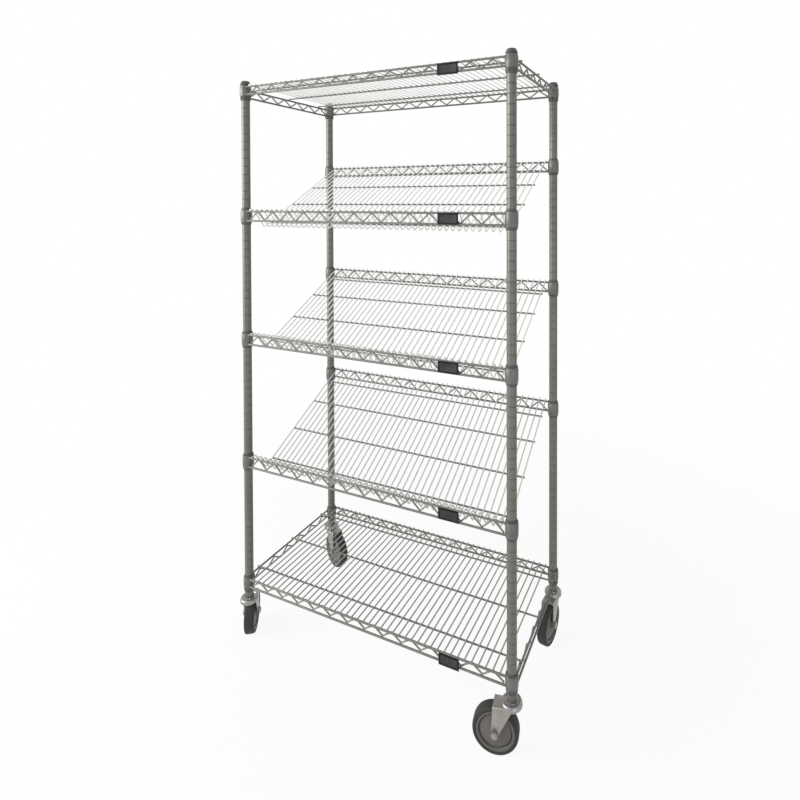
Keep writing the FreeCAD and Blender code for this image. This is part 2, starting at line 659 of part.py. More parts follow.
def make_fork(label):
    """Bent plate fork with tapering legs, a round crown and a bearing bowl."""
    body = piece(label)
    side = sketch_on(body, "XZ_Plane", f"{label}_side")
    leg_outline(side)
    block = pad(body, side, f"{label}_block", f"2 * {FORK_HALF}", both_ways=True)
    doc.recompute()
    top, half = value(CROWN_TOP), value(FORK_HALF)
    folds = []
    for number, edge in enumerate(block.Shape.Edges, start=1):
        middle = edge.CenterOfMass
        if abs(middle.z - top) < 0.01 and abs(abs(middle.y) - half) < 0.01:
            folds.append(f"Edge{number}")
    bend = body.newObject("PartDesign::Fillet", f"{label}_bend")
    bend.Base = (block, folds)
    bend.setExpression(".Radius", "sizes.fork_bend")
    gap = sketch_on(body, "YZ_Plane", f"{label}_gap")
    inner_bend = "(sizes.fork_bend / 2)"
    lines(gap, (
        (f"-{FORK_ROOM}", "0"),
        (FORK_ROOM, "0"),
        (FORK_ROOM, f"{CROWN_UNDER} - {inner_bend}"),
        (f"{FORK_ROOM} - {inner_bend}", CROWN_UNDER),
        (f"-({FORK_ROOM} - {inner_bend})", CROWN_UNDER),
        (f"-{FORK_ROOM}", f"{CROWN_UNDER} - {inner_bend}"),
    ))
    cut_through(body, gap, f"{label}_opening")
    crown = sketch_on(body, "XY_Plane", f"{label}_crown_ring", out=CROWN_UNDER)
    circle(crown, "0", "0", "sizes.crown_dia / 2")
    pad(body, crown, f"{label}_crown", "sizes.fork_plate")
    bowl = sketch_on(body, "XY_Plane", f"{label}_bowl_ring", out=CROWN_TOP)
    circle(bowl, "0", "0", "sizes.bowl_dia / 2")
    pad(body, bowl, f"{label}_bowl", "sizes.bowl_height")
    pivot = sketch_on(body, "XY_Plane", f"{label}_pivot", out=CROWN_UNDER)
    circle(pivot, "0", "0", "sizes.kingpin_dia / 2 + sizes.run_gap")
    cut_through(body, pivot, f"{label}_pivot_hole")
    eye = sketch_on(body, "XZ_Plane", f"{label}_eye")
    circle(eye, "sizes.trail", AXLE_Z, "sizes.axle_dia / 2 + sizes.fit_gap")
    cut_through(body, eye, f"{label}_eye_hole")
    return body


def leg_outline(sketch):
    """Side of a fork leg: a straight top that narrows to a round end."""
    middle = FreeCAD.Vector(value("sizes.trail"), value(AXLE_Z), 0)
    end_r = value("sizes.fork_eye / 2")
    top = value(CROWN_TOP)
    front = FreeCAD.Vector(-value("sizes.fork_front"), top, 0)
    back = FreeCAD.Vector(value("sizes.trail + sizes.fork_back"), top, 0)
    ring = Part.Circle(middle, FreeCAD.Vector(0, 0, 1), end_r)
    arc = sketch.addGeometry(Part.ArcOfCircle(ring, 3.75, 6.30))
    roof = sketch.addGeometry(Part.LineSegment(back, front))
    leading = sketch.addGeometry(Part.LineSegment(front, sketch.getPoint(arc, 1)))
    trailing = sketch.addGeometry(Part.LineSegment(sketch.getPoint(arc, 2), back))
    sketch.addConstraint(Sketcher.Constraint("Coincident", roof, 2, leading, 1))
    sketch.addConstraint(Sketcher.Constraint("Coincident", trailing, 2, roof, 1))
    sketch.addConstraint(Sketcher.Constraint("Tangent", leading, 2, arc, 1))
    sketch.addConstraint(Sketcher.Constraint("Tangent", arc, 2, trailing, 1))
    pin(sketch, arc, 3, "sizes.trail", AXLE_Z)
    drive(sketch, Sketcher.Constraint("Radius", arc, end_r), "sizes.fork_eye / 2")
    pin(sketch, roof, 1, "sizes.trail + sizes.fork_back", CROWN_TOP)
    pin(sketch, roof, 2, "-sizes.fork_front", CROWN_TOP)


def make_axle(label):
    """Bolt through both legs with its nut."""
    body = piece(label)
    shank = sketch_on(body, "XZ_Plane", f"{label}_shank_ring", across="sizes.trail", up=AXLE_Z)
    circle(shank, "0", "0", "sizes.axle_dia / 2")
    pad(body, shank, f"{label}_shank", f"2 * ({FORK_HALF} + sizes.hex_thick + sizes.axle_past)", both_ways=True)
    head = sketch_on(body, "XZ_Plane", f"{label}_head_hex", across="sizes.trail", up=AXLE_Z, out=FORK_HALF)
    hexagon(head, "sizes.hex_flats / 2 / cos(30)")
    pad(body, head, f"{label}_head", "sizes.hex_thick")
    nut = sketch_on(body, "XZ_Plane", f"{label}_nut_hex", across="sizes.trail", up=AXLE_Z,
                    out=f"-{FORK_HALF}")
    hexagon(nut, "sizes.hex_flats / 2 / cos(30)")
    circle(nut, "0", "0", "sizes.axle_dia / 2 + sizes.run_gap")
    pad(body, nut, f"{label}_nut", "sizes.hex_thick", backwards=True)
    return body


def make_core(label):
    """Wheel core: rim, ring grooves, raised discs and a hub over the axle."""
    body = piece(label)
    profile = sketch_on(body, "YZ_Plane", f"{label}_profile", up=AXLE_Z, out="sizes.trail")
    hub = f"({FORK_ROOM} - sizes.side_gap)"
    disc = "(sizes.tyre_width / 2 - sizes.disc_sunk)"
    groove = f"({disc} - sizes.groove_sunk)"
    rim = "(sizes.tyre_width / 2 - sizes.tyre_lip)"
    rim_r = f"({TYRE_SEAT_R} - sizes.rim_thick)"
    steps = (
        ("sizes.axle_dia / 2 + sizes.run_gap", hub),
        ("sizes.hub_dia / 2", hub),
        ("sizes.hub_dia / 2 + sizes.hub_slant", disc),
        (f"{rim_r} - sizes.groove_across", disc),
        (f"{rim_r} - sizes.groove_across + sizes.groove_slant", groove),
        (f"{rim_r} - sizes.groove_slant", groove),
        (rim_r, rim),
        (TYRE_SEAT_R, rim),
    )
    right = [(across, radius) for radius, across in steps]
    left = [(f"-({across})", radius) for across, radius in reversed(right)]
    lines(profile, right + left)
    turn(body, profile, f"{label}_turned", axis="H_Axis")
    return body


def make_tyre(label):
    """Tread ring on the wheel core."""
    body = piece(label)
    profile = sketch_on(body, "YZ_Plane", f"{label}_profile", up=AXLE_Z, out="sizes.trail")
    tread = "sizes.wheel_dia / 2"
    wide = "sizes.tyre_width / 2"
    right = (
        (f"{wide} - sizes.tyre_lip", TYRE_SEAT_R),
        (wide, f"{TYRE_SEAT_R} + sizes.tyre_lip"),
        (wide, f"{tread} - sizes.tyre_bevel"),
        (f"({wide} - sizes.tyre_round)", f"{tread} - sizes.tyre_round"),
        (f"({wide} - sizes.tyre_bevel)", tread),
    )
    left = [(f"-({across})", radius) for across, radius in reversed(right)]
    lines(profile, list(right) + left)
    turn(body, profile, f"{label}_turned", axis="H_Axis")
    return body


# ----------------------------------------------------------------- assembly

CORNERS = (
    ("fl", f"-{HALF_X}", f"-{HALF_Y}", False),
    ("fr", HALF_X, f"-{HALF_Y}", False),
    ("bl", f"-{HALF_X}", HALF_Y, True),
    ("br", HALF_X, HALF_Y, True),
)
SHELVES = ("bottom", "slope_low", "slope_mid", "slope_high", "top")

pieces = []
for corner, x, y, rear in CORNERS:
    pieces.append(make_post(f"post_{corner}", x, y, rear))
pieces.append(turned_at_posts("post_caps", cap_profile, POST_TOP, POST_TOP))
pieces.append(turned_at_posts("post_inserts", insert_profile, POST_BASE, POST_BASE))

for level, shelf in enumerate(SHELVES):
    front_z = level_height(level)
    rear_z = at_rear(front_z, level)
    collar = partial(collar_profile, level=level)
    pieces.append(turned_at_posts(f"collars_{shelf}", collar, front_z, rear_z))
    pieces.append(turned_at_posts(f"sleeves_{shelf}", sleeve_profile, front_z, rear_z,
                                  angle="180 - sizes.sleeve_split"))
    pieces.append(make_rails(f"rails_{shelf}", level, sides=not slopes(level)))
    pieces.append(make_zigzags(f"zigzags_{shelf}", level, sides=not slopes(level)))
    if slopes(level):
        pieces.append(make_sloping_surface(f"surface_{shelf}", level))
        pieces.append(make_sloping_cross_wires(f"cross_wires_{shelf}", level))
    else:
        pieces.append(make_level_surface(f"surface_{shelf}", level))
        pieces.append(make_level_cross_wires(f"cross_wires_{shelf}", level))
pieces.append(make_labels("label_plates"))

for corner, x, y, rear in CORNERS:
    for name, make in (("stem", make_stem), ("fork", make_fork), ("axle", make_axle),
                       ("core", make_core), ("tyre", make_tyre)):
        body = make(f"caster_{corner}_{name}")
        put(body, x=x, y=y, heading=f"sizes.heading_{corner}")
        pieces.append(body)

doc.recompute()

for item in doc.Objects:
    if "Invalid" in item.State or "Error" in item.State:
        raise RuntimeError(f"{item.Name} failed: {item.State}")
for item in pieces:
    if item.Shape.isNull() or not item.Shape.isValid() or not item.Shape.Solids:
        raise RuntimeError(f"{item.Label} has no valid shape")

os.makedirs("parts", exist_ok=True)
for item in pieces:
    item.Shape.exportStep(f"parts/{item.Label}.step")
print(len(pieces), "pieces written")
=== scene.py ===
"""Looks of a mobile bakery rack: plated wire shelves on grooved posts and casters."""
import math

import bpy
from mathutils import Matrix, Vector


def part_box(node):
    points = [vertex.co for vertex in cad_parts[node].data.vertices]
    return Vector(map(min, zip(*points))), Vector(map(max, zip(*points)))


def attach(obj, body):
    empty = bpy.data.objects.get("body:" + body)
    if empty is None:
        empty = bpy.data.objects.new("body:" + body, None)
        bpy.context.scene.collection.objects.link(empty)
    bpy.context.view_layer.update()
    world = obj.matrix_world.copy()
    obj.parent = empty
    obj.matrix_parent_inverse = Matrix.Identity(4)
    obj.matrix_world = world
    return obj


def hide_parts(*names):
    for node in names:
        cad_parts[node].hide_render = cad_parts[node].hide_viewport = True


bl_info = {
    "name": "Bakery rack",
    "version": (1, 0, 0),
    "blender": (4, 5, 0),
    "location": "View3D > Sidebar > Rack",
    "description": "Dresses a wire bakery rack on casters",
    "category": "Object",
}

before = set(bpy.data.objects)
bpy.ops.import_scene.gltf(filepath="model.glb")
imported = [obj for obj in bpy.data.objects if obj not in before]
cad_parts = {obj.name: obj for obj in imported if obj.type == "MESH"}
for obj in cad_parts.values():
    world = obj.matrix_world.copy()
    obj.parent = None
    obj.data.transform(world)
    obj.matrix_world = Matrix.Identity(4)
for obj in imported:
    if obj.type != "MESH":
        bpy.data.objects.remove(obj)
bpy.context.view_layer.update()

SHELVES = ("bottom", "slope_low", "slope_mid", "slope_high", "top")
SHELF_PAINTED_SHADE = (1.0, 0.45, 0.22, 0.05, 0.0)     # painted shade of each shelf's surface wires: 1 is the darkest, on the lowest shelf, 0 the palest, on the highest
LEVEL_SHELVES = ("bottom", "top")
CORNERS = ("fl", "fr", "bl", "br")

DOUBLES = 0.000002      # corners closer than this are merged
NEAR = 0.00001          # corners closer than this count as one place
FIT = 0.0001            # play between pieces that sit on each other
EYE = 0.004             # last ring of a round end, which is closed flat
HEXAGON = 1 / math.cos(math.pi / 6)     # across the corners over across the flats
ALONG_X = (1.0, 0.0, 0.0)
ALONG_Y = (0.0, 1.0, 0.0)
WHITE = (1.0, 1.0, 1.0, 1.0)


def middle(node):
    """Centre of a node's box."""
    low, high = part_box(node)
    return (low + high) / 2


def extent(node):
    """Size of a node's box."""
    low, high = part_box(node)
    return high - low


HALF_X = middle("post_fr").x
HALF_Y = middle("post_br").y
POST_R = extent("post_fl").x / 2
POST_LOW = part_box("post_fl")[0].z
POST_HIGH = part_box("post_fl")[1].z
COLLAR_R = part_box("collars_top")[1].x - HALF_X
SLEEVE_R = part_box("sleeves_top")[1].x - HALF_X
SLEEVE_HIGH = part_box("sleeves_top")[1].z
SLEEVE_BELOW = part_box("collars_slope_low")[0].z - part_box("sleeves_slope_low")[0].z
SLEEVE_ABOVE = SLEEVE_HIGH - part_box("collars_top")[1].z
COLLAR_TALL = extent("sleeves_top").z - SLEEVE_BELOW - SLEEVE_ABOVE
RAIL_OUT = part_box("rails_top")[1].y
SIDE_RAIL_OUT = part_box("rails_top")[1].x
AXLE_HIGH = middle("caster_fl_tyre").z
WHEEL_R = extent("caster_fl_tyre").z / 2


def shelf_heights(shelf):
    """Heights of the ring grooves that a shelf's front and rear sleeves sit in."""
    low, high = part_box(f"sleeves_{shelf}")
    return low.z + SLEEVE_BELOW + COLLAR_TALL / 2, high.z - SLEEVE_ABOVE - COLLAR_TALL / 2


# User settings

def distance(name, description, default, least=0.0):
    """A length that the user can change."""
    return bpy.props.FloatProperty(name=name, description=description, default=default,
                                   min=least, subtype="DISTANCE", unit="LENGTH")


def paint(name, description, channels):
    """A colour that the user can change."""
    return bpy.props.FloatVectorProperty(name=name, description=description,
                                         default=(*channels, 1.0), size=4, min=0.0, max=1.0,
                                         subtype="COLOR")


class RackWireSettings(bpy.types.PropertyGroup):
    """Sizes and platings of the shelves' wires"""
    rail_radius: distance("Rail radius", "Round wire of the truss rails", 0.003, least=0.001)
    rail_bite: distance("Rail bite", "How far a rail's end goes into its collar", 0.004)
    zigzag_radius: distance("Zigzag radius", "Bent wire between two rails", 0.0023, least=0.001)
    zigzag_bend: distance(
        "Zigzag bend", "Bend radius at the middle of the wire", 0.0026, least=0.001)
    zigzag_inside: distance("Zigzag inside", "Bends inside the middles of the rails", 0.0022)
    zigzag_gap: distance("Zigzag gap", "From a collar to the end of a bent wire", 0.0017)
    zigzag_weld: bpy.props.FloatProperty(
        name="Zigzag weld", description="Share of its radius that the wire stands off the rails",
        default=0.9, min=0.5, max=1.0, subtype="FACTOR")
    waves: bpy.props.IntProperty(
        name="Waves", description="Waves of a front or rear zigzag", default=14, min=2)
    side_waves: bpy.props.IntProperty(
        name="Side waves", description="Waves of a side zigzag", default=6, min=2)
    surface_radius: distance(
        "Surface wire radius", "Round wire that goods lie on", 0.0020, least=0.0005)
    cross_radius: distance(
        "Cross wire radius", "Round wire under the surface wires", 0.0025, least=0.0005)
    surface_count: bpy.props.IntProperty(
        name="Surface wires", description="Surface wires on each shelf", default=43, min=3)
    rails_apart: distance(
        "Rails apart", "Upper rail above lower rail, sloping shelf", 0.029, least=0.01)
    rails_apart_level: distance(
        "Rails apart, level", "Upper rail above lower rail, level shelf", 0.023, least=0.01)
    side_drop: distance("Side drop", "Side rails below the front and rear ones", 0.005)
    hook_bend: distance("Hook bend", "Bend radius of the sloping wires", 0.006, least=0.002)
    hook_in: distance(
        "Hook in", "Bend of a sloping wire behind the front rail", 0.055, least=0.002)
    hook_down: distance(
        "Hook down", "Bend of a sloping wire below the lower rail", 0.0215, least=0.002)
    hook_over: distance(
        "Hook over", "Level end of a sloping wire behind the front rail", 0.012, least=0.002)
    slope_short: distance(
        "Slope short", "How far a sloping wire stops inside the shelf's back", 0.0005)
    cross_first: distance("First cross wire", "Lowest cross wire behind the bend", 0.030)
    cross_step: distance(
        "Cross wire step", "From one to the next of the lower cross wires", 0.1016, least=0.01)
    cross_last: distance("Last cross wire", "Highest cross wire in front of the rear rail", 0.055)
    truss_colour: paint("Truss colour", "Plating of the rails", (0.205, 0.198, 0.18))
    zigzag_colour: paint(
        "Zigzag colour", "Plating of the bent wires between rails", (0.31, 0.30, 0.275))
    # Painted reflection and painted shade: the surface wires' plating is blended from this pale
    # colour on the highest shelf, seen from below against the bright floor, to the dark one below
    # on the lowest shelf, seen from above.
    surface_lit_colour: paint(
        "Surface lit colour", "Plating of the highest shelf's surface wires", (0.86, 0.85, 0.83))
    surface_shade_colour: paint(
        "Surface shade colour", "Plating of the lowest shelf's surface wires", (0.32, 0.305, 0.29))
    cross_colour: paint("Cross wire colour", "Plating of the cross wires", (0.235, 0.23, 0.215))


class RackPostSettings(bpy.types.PropertyGroup):
    """Ring grooves of the posts, and colours of the posts and what sits on them"""
    groove_pitch: distance("Groove pitch", "Ring grooves, one to the next", 0.0254, least=0.005)
    groove_depth: distance("Groove depth", "Depth of a ring groove", 0.0006, least=0.0001)
    groove_width: distance("Groove width", "Width of a ring groove", 0.0024, least=0.0005)
    groove_slant: bpy.props.FloatProperty(
        name="Groove slant", description="Width of a groove's slanted side over its depth",
        default=0.7, min=0.0, max=1.5, subtype="FACTOR")
    colour: paint("Post colour", "Plating of the posts", (0.185, 0.18, 0.16))
    # Painted shade: a darker plating for the faces inside the ring grooves, in place of the shade
    # that falls in them.
    groove_shade_colour: paint("Groove shade colour", "Painted shade in the ring grooves", (0.145, 0.14, 0.124))
    collar_colour: paint("Collar colour", "Plating of the collars", (0.178, 0.174, 0.16))
    cap_colour: paint("Cap colour", "Plastic of the post caps", (0.10, 0.10, 0.095))
    sleeve_colour: paint("Sleeve colour", "Plastic of the split sleeves", (0.11, 0.11, 0.105))
    insert_colour: paint(
        "Insert colour", "Zinc of the inserts in the posts' feet", (0.4, 0.4, 0.38))


class RackLabelSettings(bpy.types.PropertyGroup):
    """Sizes and colours of the blank label plates"""
    height: distance("Height", "Height of a label plate", 0.030, least=0.01)
    rim: distance("Rim", "Width of the raised rim", 0.0042, least=0.001)
    recess: distance("Recess", "Depth of the field behind the rim", 0.0008)
    recess_slant: distance("Recess slant", "Width of the slanted step down to the field", 0.0006)
    edge: distance("Edge", "Radius of the rounded edges", 0.0007)
    colour: paint("Label colour", "Moulded label plate", (0.010, 0.010, 0.011))
    field_colour: paint("Field colour", "Blank field of a label", (0.024, 0.024, 0.025))


class RackCasterSettings(bpy.types.PropertyGroup):
    """Colours of the casters"""
    plate_colour: paint("Fork colour", "Plated fork", (0.36, 0.345, 0.31))
    cover_colour: paint("Cover colour", "Bright bearing cover", (0.36, 0.355, 0.345))
    core_colour: paint("Core colour", "Wheel core", (0.13, 0.125, 0.112))
    tyre_colour: paint("Tyre colour", "Rubber tread", (0.03, 0.03, 0.03))


class RackStageSettings(bpy.types.PropertyGroup):
    """Camera, floor and lights"""
    camera_place: bpy.props.FloatVectorProperty(
        name="Camera place", description="Where the camera stands", size=3,
        subtype="XYZ", unit="LENGTH", default=(0.8497, -1.4350, 1.3710))
    camera_turn: bpy.props.FloatVectorProperty(
        name="Camera turn", description="Tilt, roll and heading", size=3, subtype="EULER",
        unit="ROTATION", default=[math.radians(turn) for turn in (89.167, 0.101, 23.689)])
    lens: bpy.props.FloatProperty(
        name="Lens", description="Focal length in millimetres", default=23.878, min=1.0)
    shift: bpy.props.FloatVectorProperty(
        name="Lens shift", description="Shift across and up", size=2,
        default=(-0.0820, -0.2391))
    floor_colour: paint("Floor colour", "Plain pale floor", (0.90, 0.90, 0.90))
    floor_size: distance("Floor size", "Side of the square floor", 60.0, least=5.0)
    floor_white: bpy.props.FloatProperty(
        name="Floor white", description="Share of plain white seen in the floor near the rack",
        default=0.92, min=0.0, max=1.0)
    key_power: bpy.props.FloatProperty(
        name="Key power", description="Large lamp at the left", default=125.0, unit="POWER")
    low_power: bpy.props.FloatProperty(
        name="Low power", description="Low lamp at the right", default=10.0, unit="POWER")
    world_strength: bpy.props.FloatProperty(
        name="World strength", description="Even light from all round", default=0.42, min=0.0)


SETTINGS = (
    ("rack_wires", RackWireSettings),
    ("rack_posts", RackPostSettings),
    ("rack_labels", RackLabelSettings),
    ("rack_casters", RackCasterSettings),
    ("rack_stage", RackStageSettings),
)


# Mesh helpers

def switch(mode):
    """Open the active object for editing, or close it."""
    bpy.ops.object.mode_set(mode=mode)


def begin(name, add, **settings):
    """Add a primitive with nothing else selected and open it for editing."""
    if bpy.context.object and bpy.context.object.mode != "OBJECT":
        switch("OBJECT")
    bpy.ops.object.select_all(action="DESELECT")
    add(**settings)
    piece = bpy.context.object
    piece.name = name
    piece.data.name = name
    switch("EDIT")
    return piece


def select_only(piece):
    """Make one object the selected and active one."""
    bpy.ops.object.select_all(action="DESELECT")
    piece.select_set(True)
    bpy.context.view_layer.objects.active = piece


def settle(piece):
    """Put an object's place into its mesh."""
    select_only(piece)
    bpy.ops.object.transform_apply(location=True, rotation=True, scale=True)


def close_up(piece):
    """Merge the doubles of a piece open for editing, close its ends and turn its faces out."""
    bpy.ops.mesh.select_all(action="SELECT")
    bpy.ops.mesh.remove_doubles(threshold=DOUBLES)
    bpy.ops.mesh.fill_holes(sides=0)
    bpy.ops.mesh.normals_make_consistent(inside=False)
    switch("OBJECT")
    settle(piece)


def draw_to(step, scale=1.0, centre=(0.0, 0.0, 0.0)):
    """Extrude what is selected by a step and resize it about a centre."""
    bpy.ops.mesh.extrude_region_move(TRANSFORM_OT_translate={"value": step})
    if scale != 1.0:
        bpy.ops.transform.resize(value=(scale, scale, scale), center_override=centre)


def turned(name, corners, sides, spot=(0.0, 0.0), base=0.0):
    """A round piece about an upright axis, drawn through (radius, height) corners."""
    radius, height = corners[0]
    x, y = spot
    piece = begin(name, bpy.ops.mesh.primitive_circle_add, vertices=sides, radius=radius,
                  location=(x, y, base + height))
    for next_radius, next_height in corners[1:]:
        draw_to((0.0, 0.0, next_height - height), next_radius / radius,
                (x, y, base + next_height))
        radius, height = next_radius, next_height
    close_up(piece)
    return piece


def rod(name, radius, start, direction, moves, sides, bend_steps=4):
    """A round rod with open ends, drawn along straight runs and round bends.

    Each move is ("run", length) or ("bend", radius, angle, axis).
    """
    heading = Vector(direction).normalized()
    place = Vector(start)
    piece = begin(name, bpy.ops.mesh.primitive_circle_add, vertices=sides, radius=radius,
                  location=place, rotation=heading.to_track_quat("Z", "Y").to_euler())
    for move in moves:
        if move[0] == "run":
            draw_to(heading * move[1])
            place = place + heading * move[1]
            continue
        _, bend, angle, axis = move
        axis = Vector(axis)
        towards = axis.cross(heading) * (1 if angle > 0 else -1)
        centre = place + towards * bend
        bpy.ops.mesh.spin(steps=bend_steps, angle=-angle, center=centre, axis=axis)
        turn = Matrix.Rotation(angle, 3, axis)
        place = centre + turn @ (place - centre)
        heading = turn @ heading
    return piece


def straight_rod(name, radius, start, direction, length, sides):
    """A straight round rod with closed ends."""
    piece = rod(name, radius, start, direction, [("run", length)], sides)
    close_up(piece)
    return piece


def modify(piece, kind, **settings):
    """Add a modifier to a piece and apply it."""
    select_only(piece)
    bpy.ops.object.modifier_add(type=kind)
    modifier = piece.modifiers[-1]
    for key, value in settings.items():
        setattr(modifier, key, value)
    bpy.ops.object.modifier_apply(modifier=modifier.name)


def repeat(piece, count, offset, merge=False):
    """Copy a piece in a row within its own mesh."""
    modify(piece, "ARRAY", count=count, use_relative_offset=False, use_constant_offset=True,
           constant_offset_displace=offset, use_merge_vertices=merge, merge_threshold=NEAR)


def repeat_on_posts(piece, rise=0.0):
    """Copy a piece from the front left post to the other three."""
    repeat(piece, 2, (2 * HALF_X, 0.0, 0.0))
    repeat(piece, 2, (0.0, 2 * HALF_Y, rise))


def soften(piece, width, angle):
    """Round a piece's sharp edges."""
    modify(piece, "BEVEL", width=width, segments=2, limit_method="ANGLE",
           angle_limit=math.radians(angle), use_clamp_overlap=True)


def join(name, pieces):
    """Make one object of several."""
    bpy.ops.object.select_all(action="DESELECT")
    for piece in pieces:
        piece.select_set(True)
    bpy.context.view_layer.objects.active = pieces[0]
    bpy.ops.object.join()
    pieces[0].name = name
    pieces[0].data.name = name
    return pieces[0]


def node_copy(node, name):
    """A merged copy of a CAD node's mesh, to be finished further."""
    piece = bpy.data.objects.new(name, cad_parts[node].data.copy())
    piece.data.name = name
    bpy.context.scene.collection.objects.link(piece)
    select_only(piece)
    switch("EDIT")
    bpy.ops.mesh.select_all(action="SELECT")
    bpy.ops.mesh.remove_doubles(threshold=DOUBLES)
    bpy.ops.mesh.dissolve_limited(angle_limit=math.radians(1.0))
    switch("OBJECT")
    return piece


def hang(piece, body, node, angle):
    """Smooth a finished piece and put it on its body in place of its CAD node."""
    settle(piece)
    bpy.ops.object.shade_smooth_by_angle(angle=math.radians(angle))
    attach(piece, body)
    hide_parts(node)


def dress(piece, material, body, node, angle):
    """Give a finished piece one material and hang it on its body."""
    piece.data.materials.clear()
    piece.data.materials.append(material)
    hang(piece, body, node, angle)


# Materials

def node_at(tree, name, kind, place, **values):
    """Add a named shader node, with attributes and plain input values."""
    node = tree.nodes.new(kind)
    node.name = name
    node.location = place
    for key, value in values.items():
        if hasattr(node, key):
            setattr(node, key, value)
        else:
            node.inputs[key.replace("_", " ")].default_value = value
    return node


def link(tree, *joins):
    """Link shader nodes, each join given as (node, output, node, input)."""
    for source, output, target, entry in joins:
        tree.links.new(tree.nodes[source].outputs[output], tree.nodes[target].inputs[entry])


def start_group(name, colours, amounts, cloud, tone, grain, bump):
    """Start a shader group whose clouds blend two colours and whose grain gives the bump.

    cloud, tone, grain and bump hold the values of those nodes.
    """
    tree = bpy.data.node_groups.new(name, "ShaderNodeTree")
    sockets = [("INPUT", "Color", colour) for colour in colours]
    sockets += [("INPUT", "Float", amount) for amount in amounts]
    sockets += [("OUTPUT", "Color", "Colour"), ("OUTPUT", "Float", "Roughness"),
                ("OUTPUT", "Vector", "Normal")]
    for way, kind, socket in sockets:
        tree.interface.new_socket(name=socket, in_out=way, socket_type=f"NodeSocket{kind}")
    node_at(tree, "Inputs", "NodeGroupInput", (-900, 0))
    node_at(tree, "Outputs", "NodeGroupOutput", (500, 0))
    node_at(tree, "Place", "ShaderNodeTexCoord", (-900, -300))
    node_at(tree, "Cloud", "ShaderNodeTexNoise", (-600, 150), **cloud)
    node_at(tree, "Tone", "ShaderNodeMapRange", (-400, 150), **tone)
    node_at(tree, "Blend", "ShaderNodeMix", (0, 200), data_type="RGBA")
    node_at(tree, "Grain", "ShaderNodeTexNoise", (-600, -250), Detail=2.0, **grain)
    node_at(tree, "Bumps", "ShaderNodeBump", (0, -300), **bump)
    link(tree,
         ("Place", "Object", "Cloud", "Vector"),
         ("Place", "Object", "Grain", "Vector"),
         ("Cloud", "Fac", "Tone", "Value"),
         ("Inputs", colours[0], "Blend", 6),
         ("Inputs", colours[1], "Blend", 7),
         ("Grain", "Fac", "Bumps", "Height"),
         ("Inputs", "Bump", "Bumps", "Strength"),
         ("Blend", 2, "Outputs", "Colour"),
         ("Bumps", "Normal", "Outputs", "Normal"))
    return tree


def plating_group():
    """Plated steel: cloudy tone, dull patches and fine grain."""
    tree = start_group(
        "Plated steel", ("Colour", "Dull colour"), ("Cloud scale", "Bump", "Smooth", "Rough"),
        cloud={"Detail": 5.0, "Roughness": 0.6}, tone={"From_Min": 0.35, "From_Max": 0.7},
        grain={"Scale": 900.0}, bump={"Distance": 0.0002})
    node_at(tree, "Dulling", "ShaderNodeMix", (0, -50), data_type="FLOAT")
    link(tree,
         ("Inputs", "Cloud scale", "Cloud", "Scale"),
         ("Tone", "Result", "Blend", "Factor"),
         ("Tone", "Result", "Dulling", "Factor"),
         ("Inputs", "Smooth", "Dulling", 2),
         ("Inputs", "Rough", "Dulling", 3),
         ("Dulling", 0, "Outputs", "Roughness"))
    return tree


def grain_group():
    """Moulded plastic or rubber: fine grain and a little settled dust."""
    tree = start_group(
        "Moulded grain", ("Colour", "Dust colour"), ("Dust", "Grain scale", "Bump", "Rough"),
        cloud={"Scale": 35.0, "Detail": 4.0, "Roughness": 0.65},
        tone={"From_Min": 0.4, "From_Max": 0.75}, grain={}, bump={"Distance": 0.0003})
    node_at(tree, "Settled", "ShaderNodeMath", (-200, 150), operation="MULTIPLY")
    rougher = node_at(tree, "Rougher", "ShaderNodeMath", (-200, -50), operation="MULTIPLY")
    rougher.inputs[1].default_value = 0.25
    node_at(tree, "Dulling", "ShaderNodeMath", (0, -50), operation="ADD")
    link(tree,
         ("Inputs", "Grain scale", "Grain", "Scale"),
         ("Tone", "Result", "Settled", 0),
         ("Inputs", "Dust", "Settled", 1),
         ("Settled", 0, "Blend", "Factor"),
         ("Tone", "Result", "Rougher", 0),
         ("Rougher", 0, "Dulling", 0),
         ("Inputs", "Rough", "Dulling", 1),
         ("Dulling", 0, "Outputs", "Roughness"))
    return tree


def finish_material(name, group, values, metallic, specular):
    """A material whose Principled shader is fed by one of the groups."""
    material = bpy.data.materials.new(name)
    material.use_nodes = True
    tree = material.node_tree
    shader = tree.nodes["Principled BSDF"]
    shader.inputs["Metallic"].default_value = metallic
    shader.inputs["Specular IOR Level"].default_value = specular
    finish = node_at(tree, "Finish", "ShaderNodeGroup", (-300, 200), node_tree=group)
    for key, value in values.items():
        finish.inputs[key].default_value = value
    link(tree,
         ("Finish", "Colour", shader.name, "Base Color"),
         ("Finish", "Roughness", shader.name, "Roughness"),
         ("Finish", "Normal", shader.name, "Normal"))
    material.diffuse_color = values["Colour"]
    return material


def darker(colour, share):
    """A colour with its three channels scaled."""
    return (colour[0] * share, colour[1] * share, colour[2] * share, 1.0)


def plated(name, colour, smooth, rough, cloud=18.0, dull=0.8, bump=0.08, metallic=0.8):
    """Plated steel with patches that are darker by a share and rougher."""
    group = bpy.data.node_groups.get("Plated steel") or plating_group()
    values = {"Colour": tuple(colour), "Dull colour": darker(colour, dull), "Cloud scale": cloud,
              "Bump": bump, "Smooth": smooth, "Rough": rough}
    return finish_material(name, group, values, metallic, specular=0.4)


def moulded(name, colour, dust_colour, dust=0.3, grain=700.0, bump=0.15, rough=0.5, specular=0.3):
    """Moulded plastic or rubber with some dust on it."""
    group = bpy.data.node_groups.get("Moulded grain") or grain_group()
    values = {"Colour": tuple(colour), "Dust colour": dust_colour, "Dust": dust,
              "Grain scale": grain, "Bump": bump, "Rough": rough}
    return finish_material(name, group, values, metallic=0.0, specular=specular)


def wire_material(name, colour):
    """Dull plating of the shelves' thicker wires."""
    return plated(name, colour, smooth=0.52, rough=0.62, dull=0.85, bump=0.04, metallic=0.4)


# Posts

